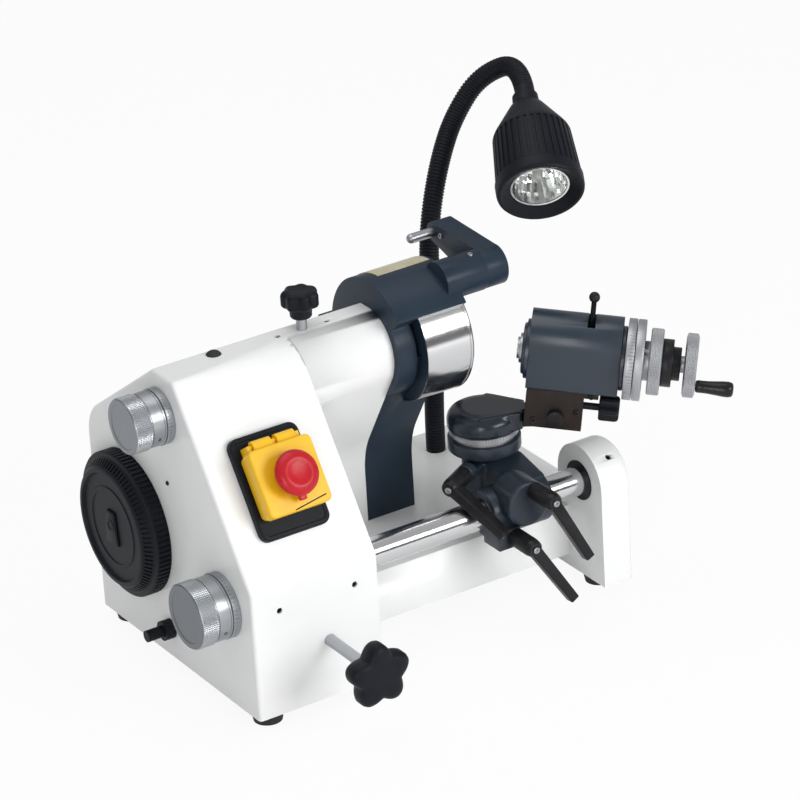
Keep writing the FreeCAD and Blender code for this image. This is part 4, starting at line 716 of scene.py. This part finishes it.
switch = {"x": 57.0, "up": 80.0, "plate": (64.0, 87.0, 7.0), "corner": 8.0, "stop": 19.0, "stopBase": 32.6,
          "coverTop": 28.3, "tongue": ((-3.4, -22.0, 0.2), (3.4, -13.0, 4.2)),
          "slit": ((-6.0, -27.2), (24.0, -22.6), 1.0)}


def onSlope(x, y, up):
    return slopePlace @ Matrix.Translation((switch["x"] + x, switch["up"] + y, up))


def makeSwitchPlate():
    width, length, thick = switch["plate"]
    bm = bmesh.new()
    addBlock(bm, (-width / 2, -length / 2, 0), (width / 2, length / 2, thick))
    corners = [e for e in bm.edges if abs(e.verts[0].co.z - e.verts[1].co.z) > 1]
    bmesh.ops.bevel(bm, geom=corners, offset=switch["corner"], offset_type="OFFSET", segments=8,
                    profile=0.5, affect="EDGES", material=-1)
    top = max(bm.faces, key=lambda f: f.calc_center_median().z)
    roundEdges(bm, 1.6, 3, faces=[top])
    top = max(bm.faces, key=lambda f: f.calc_center_median().z)
    bmesh.ops.inset_region(bm, faces=[top], thickness=2.0, depth=0)
    bmesh.ops.inset_region(bm, faces=[top], thickness=0.6, depth=-0.8)
    finishPiece(bm, "switchPlateMoulded", blackPlastic, "switch_plate",
                place=onSlope(0, 0, 0))


def makeStopButton():
    r = switch["stop"]
    profile = [(-12, 0), (-12, 7), (0, 7), (0, r * 0.8), (0.8, r * 0.86), (5.6, r - 0.5), (7.5, r),
               (9.4, r - 0.4), (11.4, r - 2.2), (12.9, r - 5.0), (13.5, r - 7.0), (13.4, r - 8.6),
               (12.6, r - 11), (12.2, r - 14), (12.1, 0)]
    bm = turned(profile, 64)
    bm.transform(upright)
    low, high = switch["tongue"]
    roundEdges(bm, 1.2, faces=facesOf(addBlock(bm, low, high)))
    finishPiece(bm, "stopButtonMushroom", redPlastic, "stop_button",
                place=onSlope(0, 0, switch["stopBase"]), sharp=50)


def makeSlitShadeStrip():
    # black strip painted in as the shade of the parting slit across the lower right of the cover
    (x0, y0), (x1, y1), wide = switch["slit"]
    run = Vector((x1 - x0, y1 - y0, 0))
    bm = bmesh.new()
    addBlock(bm, (0, -wide / 2, -0.6), (run.length, wide / 2, 0.15))
    turn = Matrix.Rotation(math.atan2(run.y, run.x), 4, "Z")
    finishPiece(bm, "switchSlitShadeStrip", blackPlastic, body=bodyOf("switch_cover"),
                place=onSlope(x0, y0, switch["coverTop"]) @ turn)


makeSwitchPlate()
makeStopButton()
makeSlitShadeStrip()
softened("switchBoxMoulded", "switch_housing", yellowPlastic, 0.6, 1.5, outer=True)
softened("switchCoverMoulded", "switch_cover", yellowPlastic, 0.5, 1.5)
softened("startButtonMoulded", "start_button", greenPlastic, 0.5, 0.2)
print("lock knobs and switch dressed")


# Lamp

gooseNeck = {"radius": 8.6, "groove": 0.7, "pitch": 2.8, "plain": 14.0, "sides": 28,
             "rib": ((0.0, 0.25), (0.12, 0.0), (0.5, 0.0), (0.62, 0.25), (0.72, 1.0), (0.9, 1.0)),
             "route": [(319, 223, 56), (319, 223, 92), (321, 223, 135), (323, 223, 176), (323, 223, 215),
                       (324, 225, 255), (334, 232, 292), (353, 244, 327), (379, 261, 352), (409, 263, 382),
                       (430, 229, 401), (411, 195, 378)]}


def makeGooseneck():
    g = gooseNeck
    curve = bpy.data.curves.new("neckLine", "CURVE")
    curve.dimensions = "3D"
    spline = curve.splines.new("NURBS")
    spline.points.add(len(g["route"]) - 1)
    for point, spot in zip(spline.points, g["route"]):
        point.co = (*spotAt(*spot), 1)
    spline.order_u = 3
    spline.use_endpoint_u = True
    spline.resolution_u = 24
    line = addObject("neckLine", curve)
    bpy.context.view_layer.update()
    points = bpy.data.meshes.new_from_object(line.evaluated_get(bpy.context.evaluated_depsgraph_get()))
    spots = [v.co.copy() for v in points.vertices]
    length = sum((b - a).length for a, b in zip(spots, spots[1:])) / mm
    radius = g["radius"]
    ribbed = length - 2 * g["plain"]
    count = int(ribbed / g["pitch"])
    pitch = ribbed / count
    profile = [(0, 0), (0, radius)]
    for i in range(count):
        start = g["plain"] + i * pitch
        profile += [(start + pitch * share, radius - g["groove"] * drop) for share, drop in g["rib"]]
    profile += [(length - g["plain"], radius), (length, radius), (length, 0)]
    bm = turned(profile, g["sides"])
    bm.transform(Matrix.Scale(mm, 4))
    straight = addObject("neckStraight", meshFrom(bm, "neckStraight"))
    bend = straight.modifiers.new("alongNeck", "CURVE")
    bend.object = line
    bend.deform_axis = "POS_X"
    bent = bmesh.new()
    bent.from_object(straight, bpy.context.evaluated_depsgraph_get())
    bpy.data.objects.remove(straight)
    bpy.data.objects.remove(line)
    finishPiece(bent, "gooseneckRibbed", blackPlastic, "gooseneck", sharp=50)


lampShade = {"length": 104.0, "neck": 11.0, "rim": 37.5, "flutes": 36, "fluteDepth": 0.9, "bulbFront": 98.0,
             "bulb": 25.0, "bulbBack": 64.0}


def makeLampShade():
    s = lampShade
    rim, neck, end = s["rim"], s["neck"], s["length"]
    bulb, front, back = s["bulb"], s["bulbFront"], s["bulbBack"]
    profile = [(0, 8.8), (0, neck - 0.6), (0.8, neck), (10.5, neck + 0.6), (12, neck + 2), (14, 15.2),
               (20, 18.8), (28, 23.6), (35, 27.8), (40, 30.8), (43, 32.4), (45, 33.2), (46, 33.5),
               (91, rim - 0.9), (92, rim - 1.1), (93, rim), (101, rim - 0.1), (103, rim - 0.5),
               (end, rim - 1.3), (end, rim - 3.3), (front + 0.3, bulb + 0.7), (front - 1, bulb + 0.3),
               (back, 14), (back, 0)]
    bm = turned(profile, s["flutes"] * 2)
    flutes = facesRound(bm, 47, 90, 30)
    bmesh.ops.inset_individual(bm, faces=flutes[::2], thickness=0.35, depth=-s["fluteDepth"])
    finishPiece(bm, "lampShadeFluted", blackPlastic, "lamp_shade", place=lampPlace,
                sharp=28)


def makeLampBulb():
    bulb, front, back = (lampShade[part] for part in ("bulb", "bulbFront", "bulbBack"))
    steps, deep, root, lip = 8, 26, 5.5, bulb - 2.2
    wall = [(front, bulb), (front, bulb - 1.6), (front - 1.2, lip)]
    for i in range(1, steps + 1):
        share = 1 - i / steps
        wall.append((front - 1.2 - deep * (1 - share ** 2) ** 0.5, lip * share + root * i / steps))
    outer = [(back + 1, root), (back + 1, 12.5), (front - 2, bulb - 0.2), (front, bulb)]
    finishPiece(turned(wall + outer, 28), "lampReflectorFaceted", reflectorChrome(), "lamp_bulb",
                place=lampPlace, sharp=4)
    capsule = [(front - 26, 0), (front - 26, 4.2), (front - 14, 4.4), (front - 10, 3.6), (front - 8.2, 2.0),
               (front - 7.8, 0)]
    frosted = glass("frostedGlass", frostedLook, IOR=1.46)
    finishPiece(turned(capsule, 24), "lampCapsule", frosted, body="lamp", place=lampPlace, sharp=60)
    lens = [(front - 0.9, 0), (front - 0.9, bulb - 1.8), (front - 0.2, bulb - 1.8),
            (front + 0.2, bulb * 0.5), (front + 0.4, 0)]
    clear = glass("clearGlass", clearLook, Transmission_Weight=1.0, IOR=1.45)
    finishPiece(turned(lens, 48), "lampLens", clear, body="lamp", place=lampPlace, sharp=40)


def reflectorChrome():
    material, tree, shader, where = startMaterial("reflectorChrome", Metallic=1.0)
    cells = addNode(tree, "ShaderNodeTexVoronoi", {"Vector": where, "Scale": 130.0}).outputs["Distance"]
    colour = mixColours(tree, remap(tree, cells, 0.0, 0.7), (0.97, 0.97, 0.96), (0.86, 0.87, 0.86))
    linkLook(tree, shader, colour, remap(tree, cells, 0.0, 0.7, 0.06, 0.12))
    bump(tree, shader["Normal"], cells, 0.15, 0.001)
    return material


def glass(name, look, **sockets):
    material, tree, shader, where = startMaterial(name, **sockets)
    haze = noise(tree, where, *look["haze"])
    colour = mixColours(tree, haze, look["colour"], look["shade"])
    linkLook(tree, shader, colour, remap(tree, haze, 0.3, 0.7, *look["roughness"]))
    return material


frostedLook = {"haze": (300.0,), "colour": (0.86, 0.85, 0.8), "shade": (0.76, 0.76, 0.72),
               "roughness": (0.2, 0.35)}
clearLook = {"haze": (90.0, 3.0), "colour": (0.98, 0.99, 0.99), "shade": (0.94, 0.96, 0.95),
             "roughness": (0.0, 0.06)}


makeGooseneck()
makeLampShade()
makeLampBulb()
print("lamp dressed")


# Wheel dresser

softened("dresserArmCast", "dresser_arm", navyEnamel, 1.2, 0.6, 3)

smallScrew = {"head": 3.2, "height": 2.2, "socket": 1.6}


def makeSmallScrew(name, body, point, out, finish, size=1.0):
    head, top, socket = (smallScrew[part] * size for part in ("head", "height", "socket"))
    profile = [(-0.6, 0), (-0.6, head), (top - 0.5, head), (top, head - 0.5), (top, socket + 0.2),
               (top - 0.2, socket), (0.4, socket), (0.4, 0)]
    up = (0, 0, 1) if abs(Vector(out).z) < 0.9 else (0, 1, 0)
    finishPiece(turned(profile, 24), name, finish, body=body,
                place=placeAlong(point, out, up))


makeSmallScrew("dresserPinchScrew", "dresser", spotAt(294.4, 156, 301), (-1, 0, 0), plainSteel, 0.8)
makeSmallScrew("dresserBossScrew", "base", spotAt(285, 98, 306.1), (0, -0.23, 0.97), plainSteel, 0.7)
makeSmallScrew("endFaceScrew", "base", spotAt(0, 122.7, 177.5), (-1, 0, 0), blackSteel, 0.6)


# Clamping levers

leverLook = {"hub": 8.0, "hubLength": 30.0, "arm": 57.0, "lean": 12.0, "root": (6.0, 5.0),
             "tip": (5.2, 4.2)}


def makeLever(name, node, place, angle):
    v = leverLook
    hub, top = v["hub"], v["hubLength"]
    bm = turned([(0, 0), (0, hub - 1), (1, hub), (top - 7, hub), (top - 2, hub - 0.8), (top, hub - 2.4),
                 (top, 3.4), (top - 0.6, 3.2), (top - 0.6, 0)], 40)
    turn = math.radians(-angle)
    way = Vector((v["lean"], v["arm"] * math.cos(turn), v["arm"] * math.sin(turn)))
    start = Vector((top - 6.5, 0, 0))
    arm = bmesh.new()
    corners = addBlock(arm, (0, -1, -1), (way.length + v["tip"][0] - 1, 1, 1))
    for vert in corners:
        wide, thick = v["root"] if vert.co.x < 1 else v["tip"]
        vert.co.y *= wide
        vert.co.z *= thick
    roundEdges(arm, 1.3, 3)
    side = Vector((1, 0, 0)).cross(way).normalized()
    turnArm = Matrix((way.normalized(), way.normalized().cross(side), side)).transposed().to_4x4()
    addMesh(bm, arm, Matrix.Translation(start) @ turnArm)
    finishPiece(bm, name, blackSteel, node, place=place)
    seat = place @ Vector((top - 0.2, 0, 0))
    makeSmallScrew(name + "Screw", bodyOf(node), seat, place.to_3x3() @ Vector((1, 0, 0)), plainSteel, 0.9)


postLever = {"turn": 211.2, "axis": (284, 89, 127), "reach": 41.5}
postTurn = math.radians(postLever["turn"])
postOut = Vector((math.cos(postTurn), math.sin(postTurn), 0))
postSpot = spotAt(*postLever["axis"]) + postOut * postLever["reach"] * mm
for name, node, spot, out, angle in (
        ("splitLeverArm", "split_lever", spotAt(266.5, 21, 82), (0, -1, 0), 60.0),
        ("barLeverArm", "bar_lever", spotAt(283.5, 14, 122.5), (0, -1, 0), 65.0),
        ("postLeverArm", "post_lever", postSpot, postOut, 29.0)):
    makeLever(name, node, placeAlong(spot, out), angle)


# Bracket, clamp collar and swivel

finishPiece(blended(nodeCopy("bar_bracket"), 0.0011, 8), "bracketCast", darkCasting,
            "bar_bracket", sharp=70)
softened("clampCollar", "bar_clamp", darkCasting, 1.0, 0.6)
softened("swivelPostTurned", "swivel_post", darkCasting, 0.8, 0.6)

swivel = {"radius": 31.0, "scale": 29.5, "scaleLow": 146.0, "scaleHigh": 154.0, "capLow": 154.3,
          "capTop": 172.0, "lugReach": 74.0}


def makeScaleRing():
    r, low, high = (swivel[part] for part in ("scale", "scaleLow", "scaleHigh"))
    step = high - 4.2
    profile = [(low, 0), (low, r - 2.5), (step, r - 2.5), (step, r), (high - 0.5, r), (high, r - 0.5),
               (high, 0)]
    finishPiece(turned(profile, 96), "scaleRingSatin", scaleSatin, "graduated_ring",
                place=swivelAxis)


def makeSwivelCap():
    # pear-shaped cap: a drum that narrows into the lug beside the tilt plate
    r, low, top = (swivel[part] for part in ("radius", "capLow", "capTop"))
    profile = [(low, 0), (low, r), (top - 10, r), (top - 6.5, r - 0.8), (top - 3.4, r - 3),
               (top - 1.2, r - 7), (top, r - 13), (top, 0)]
    bm = turned(profile, 72)
    bm.transform(upright)
    for left, right, wide, narrow in ((0, 34, 27.0, 13.0), (28, swivel["lugReach"], 8.0, 8.0)):
        for vert in addBlock(bm, (left, -1, low + 1), (right, 1, top - 0.2)):
            vert.co.y *= wide if vert.co.x < (left + right) / 2 else narrow
    finishPiece(blended(bm, 1.0, 18), "swivelCapCast", capEnamel, "swivel_cap",
                place=headPlace, sharp=70)


makeScaleRing()
makeSwivelCap()
softened("tiltPlateGround", "tilt_plate", brownSteel, 0.9, 0.8)
softened("tiltScrewHead", "tilt_screw", blackSteel, 0.5, 0.4)
for i, (along, height) in enumerate(((79, 176), (44, 166), (90, 192))):
    makeSmallScrew("stopScrew" + str(i + 1), "tilt", tiltPlace @ Vector((along, -18.3, height)),
                   tiltPlace.to_3x3() @ Vector((0, -1, 0)), blackSteel, 0.75)
print("levers, bracket and swivel dressed")


# Work head

workHead = {"round": 1.6, "left": 35.0, "right": 111.0, "flange": 27.0, "knurl": 28.0, "wheel": 27.0,
            "bore": 5.2, "tooth": 0.45, "handle": 18.5}

softened("workHeadCasting", "work_head_body", headEnamel, workHead["round"], 1.0, 3)
softened("indexSpindleGround", "index_spindle", headSteel, 0.4, 0.4)
softened("colletGround", "collet", headSteel, 0.3, 0.4)
softened("indexPlateSatin", "index_plate", headSatin, 0.7, 1.4)
softened("indexRingSatin", "index_ring", headSatin, 0.6, 1.4)
softened("indexLeverPin", "index_lever", blackSteel, 0.3, 0.4)
softened("lockCollarsTurned", "lock_collars", blackSteel, 0.8, 0.6)


def makeHeadFlange():
    # dark cover between the head casting and the index rings
    left, r = workHead["right"], workHead["flange"]
    profile = [(left, 22.3), (left, r - 0.6), (left + 0.6, r), (left + 2.8, r), (left + 3.4, r - 0.6),
               (left + 3.4, 22.3), (left, 22.3)]
    finishPiece(turned(profile, 72), "headFlangeDark", headEnamel, body="tilt",
                place=headAxis)


def makeNoseCap():
    # dark stepped cap round the spindle at the head's left end
    left = workHead["left"]
    profile = [(left - 5.6, 13.0), (left - 5.6, 20.5), (left - 4.8, 21.4), (left - 3.4, 21.6),
               (left - 3.2, 24.4), (left - 2.6, 25), (left, 25), (left, 13.0), (left - 5.6, 13.0)]
    finishPiece(turned(profile, 72), "headNoseCap", headEnamel, body="tilt", place=headAxis)


def makeKnurledRing():
    r, tooth = workHead["knurl"], workHead["tooth"]
    profile = [(134.1, 12.6), (134.1, r - 1.2), (134.8, r - tooth)]
    profile += [(x, r - tooth) for x in spread(135, 143.8, 7)]
    profile += [(144.0, r - tooth), (144.7, r - 1.2), (144.7, 12.6), (134.1, 12.6)]
    bm = turned(profile, 120)
    knurl(bm, r - tooth, 135, 143.8, tooth)
    finishPiece(bm, "knurledRingSatin", headSatin, "knurled_ring", place=headAxis, sharp=14)


def makeHandwheel():
    r, tooth, bore = (workHead[part] for part in ("wheel", "tooth", "bore"))
    profile = [(156, bore), (156, 7), (163.3, 7), (163.3, r - 4), (163.9, r - 1.6)]
    profile += [(x, r - tooth) for x in spread(164.5, 172.8, 7)]
    profile += [(173.4, r - 1.6), (174, r - 3), (174, r - 6), (173, r - 7), (173, 9.5), (173.8, 8.8),
                (173.8, 6), (173.3, bore), (156, bore)]
    bm = turned(profile, 120)
    knurl(bm, r - tooth, 164.5, 172.8, tooth)
    pin = turned([(170, 0), (170, 2.5), (203, 2.5), (203, 0)], 20)
    addMesh(bm, pin, Matrix.Translation((0, 0, -workHead["handle"])))
    finishPiece(bm, "handwheelKnurled", headSatin, "handwheel", place=headAxis, sharp=14)


def makeCrankHandle():
    profile = [(174.3, 2.6), (174.3, 4.0), (174.9, 4.9), (176.5, 5.3), (179.5, 5.2), (184.5, 5.3),
               (191.5, 5.9), (197.5, 6.5), (201.5, 6.6), (204.3, 6.0), (205.6, 4.6), (206, 2.4), (206, 0)]
    finishPiece(turned(profile, 40), "crankHandleGloss", glossBlack, "crank_handle",
                place=headAxis @ Matrix.Translation((0, 0, -workHead["handle"])), sharp=50)


def makeThumbScrew():
    rings = [(97, 0.3), (97, 0.85), (97.8, 0.96), (98.8, 1.0), (110.5, 1.0), (112.6, 0.95), (113.7, 0.84),
             (114, 0.68), (114, 0.02)]
    bm = lobedForm(11.0, 7.2, 6, rings)
    rod = turned([(77.6, 0), (77.6, 3), (98, 3)], 24)
    addMesh(bm, rod)
    place = tiltPlace @ Matrix.Translation((0, -13.3, 181))
    finishPiece(bm, "thumbScrewLobed", blackPlastic, "thumb_screw", place=place)


makeHeadFlange()
makeNoseCap()
makeKnurledRing()
makeHandwheel()
makeCrankHandle()
makeThumbScrew()
print("work head dressed")


# Nodes whose own solid is already the right shape keep it, with a finish

for finish, nodes in (
        (blackRubber, ("rubber_feet", "hole_plug", "drive_belt")),
        (blackSteel, ("casting_screws",)),
        (blackPlastic, ("cable_gland",)),
        (ringPolish, ("spindle_quill",)),
        (plainSteel, ("spindle_bearings", "spindle_shaft", "wheel_flange", "upper_feed_screw",
                      "top_lock_stud", "motor_shaft", "lower_feed_screw", "front_lock_stud",
                      "dresser_diamond")),
        (motorAlloy, ("spindle_pulley", "motor_pulley")),
        (abrasive, ("grinding_wheel",)),
        (castIron, ("motor_body",)),
        (barPolish, ("guide_bar",)),
        (bushShadeSteel, ("bar_bushes",))):
    for node in nodes:
        mesh = frame["nodes"][node].data
        mesh.materials.clear()
        mesh.materials.append(finish)


# Floor, light and camera

studio = {"floor": 12.0, "floorShade": (0.9, 0.9, 0.9), "glow": 0.92, "mirrored": 0.4,
          "horizon": (0.6, 0.61, 0.62), "zenith": (0.9, 0.9, 0.9), "ambient": 0.56,
          "lamps": {"keySoftbox": ((0.8, -2.2, 0.95), (1.3, 1.3), 34.0),
                    "topSoftbox": ((-0.1, 0.3, 2.1), (1.6, 1.6), 11.5),
                    "fillStrip": ((-1.5, -1.8, 0.68), (0.4, 1.2), 9.0)},
          "card": {"spot": (1.05, -1.75, 0.42), "wide": 1.8, "tall": 0.62, "shade": (0.05, 0.046, 0.042)}}


def plainMaterial(name, shade, roughness):
    material = bpy.data.materials.new(name)
    material.use_nodes = True
    shader = material.node_tree.nodes["Principled BSDF"]
    shader.inputs["Base Color"].default_value = (*shade, 1)
    shader.inputs["Roughness"].default_value = roughness
    return material, material.node_tree, shader


def makeSheet(name, size, place, material):
    bm = bmesh.new()
    bmesh.ops.create_grid(bm, x_segments=1, y_segments=1, size=size, matrix=place)
    mesh = meshFrom(bm, name)
    mesh.materials.append(material)
    return addObject(name, mesh)


def makeFloor():
    # glows towards the camera, and less so in reflections, to stay white like the photo's ground
    material, tree, paper = plainMaterial("paleFloor", studio["floorShade"], 0.85)
    rays = addNode(tree, "ShaderNodeLightPath").outputs
    mirrored = maths(tree, "MULTIPLY", rays["Is Glossy Ray"], studio["mirrored"])
    direct = maths(tree, "MAXIMUM", rays["Is Camera Ray"], rays["Is Transmission Ray"])
    seen = maths(tree, "MAXIMUM", direct, mirrored)
    glow = addNode(tree, "ShaderNodeEmission", {"Color": (1, 1, 1, 1), "Strength": 1.0})
    share = maths(tree, "MULTIPLY", seen, studio["glow"])
    mix = addNode(tree, "ShaderNodeMixShader", {0: share, 1: paper.outputs[0], 2: glow.outputs[0]})
    tree.links.new(mix.outputs[0], tree.nodes["Material Output"].inputs["Surface"])
    floor = makeSheet("studioFloor", studio["floor"], Matrix(), material)


def makeCard():
    # dark card in front, seen only in reflections
    c = studio["card"]
    facing = (Vector((0, 0, 0.25)) - Vector(c["spot"])).to_track_quat("Z", "Y").to_matrix().to_4x4()
    place = Matrix.Translation(c["spot"]) @ facing @ Matrix.Diagonal((c["wide"], c["tall"], 1, 1))
    card = makeSheet("darkCard", 0.5, place, plainMaterial("cardFelt", c["shade"], 0.9)[0])
    card.visible_camera = False
    card.visible_diffuse = False
    card.visible_shadow = False


def makeWorld():
    world = bpy.data.worlds.new("studioWorld")
    bpy.context.scene.world = world
    world.use_nodes = True
    tree = world.node_tree
    where = addNode(tree, "ShaderNodeTexCoord").outputs["Generated"]
    height = addNode(tree, "ShaderNodeSeparateXYZ", {0: where}).outputs[2]
    blend = remap(tree, height, -0.1, 0.8)
    back = tree.nodes["Background"]
    tree.links.new(mixColours(tree, blend, studio["horizon"], studio["zenith"]), back.inputs["Color"])
    back.inputs["Strength"].default_value = studio["ambient"]


def makeLamps():
    for name, (spot, size, power) in studio["lamps"].items():
        lamp = bpy.data.lights.new(name, "AREA")
        lamp.shape = "RECTANGLE"
        lamp.size, lamp.size_y = size
        lamp.energy = power
        holder = addObject(name, lamp)
        holder.location = spot
        aim = Vector((0, 0, 0.15)) - Vector(spot)
        holder.rotation_euler = aim.to_track_quat("-Z", "Y").to_euler()


photoView = {"right": (0.8426, -0.5356, -0.0578), "up": (0.283, 0.348, 0.8937),
             "look": (0.4585, 0.769, -0.445), "target": (178.6, 107.1, 161.8), "across": 28.8,
             "above": 36.9, "distance": 3721.0, "lens": 202.5}


def makeCamera():
    p = photoView
    right = Vector(p["right"])
    up = Vector(p["up"])
    target = spotAt(*p["target"])
    spot = target - Vector(p["look"]) * p["distance"] * mm
    aim = target + (right * p["across"] + up * p["above"]) * mm
    look = (aim - spot).normalized()
    right = (right - look * look.dot(right)).normalized()
    camera = bpy.data.cameras.new("photoCamera")
    camera.lens = p["lens"]
    camera.sensor_width = 36
    holder = addObject("photoCamera", camera)
    turn = Matrix((right, right.cross(look), -look)).transposed().to_4x4()
    holder.matrix_world = Matrix.Translation(spot) @ turn
    bpy.context.scene.camera = holder


makeFloor()
makeCard()
makeWorld()
makeLamps()
makeCamera()
bpy.context.scene.view_settings.view_transform = "Standard"
print("studio ready")
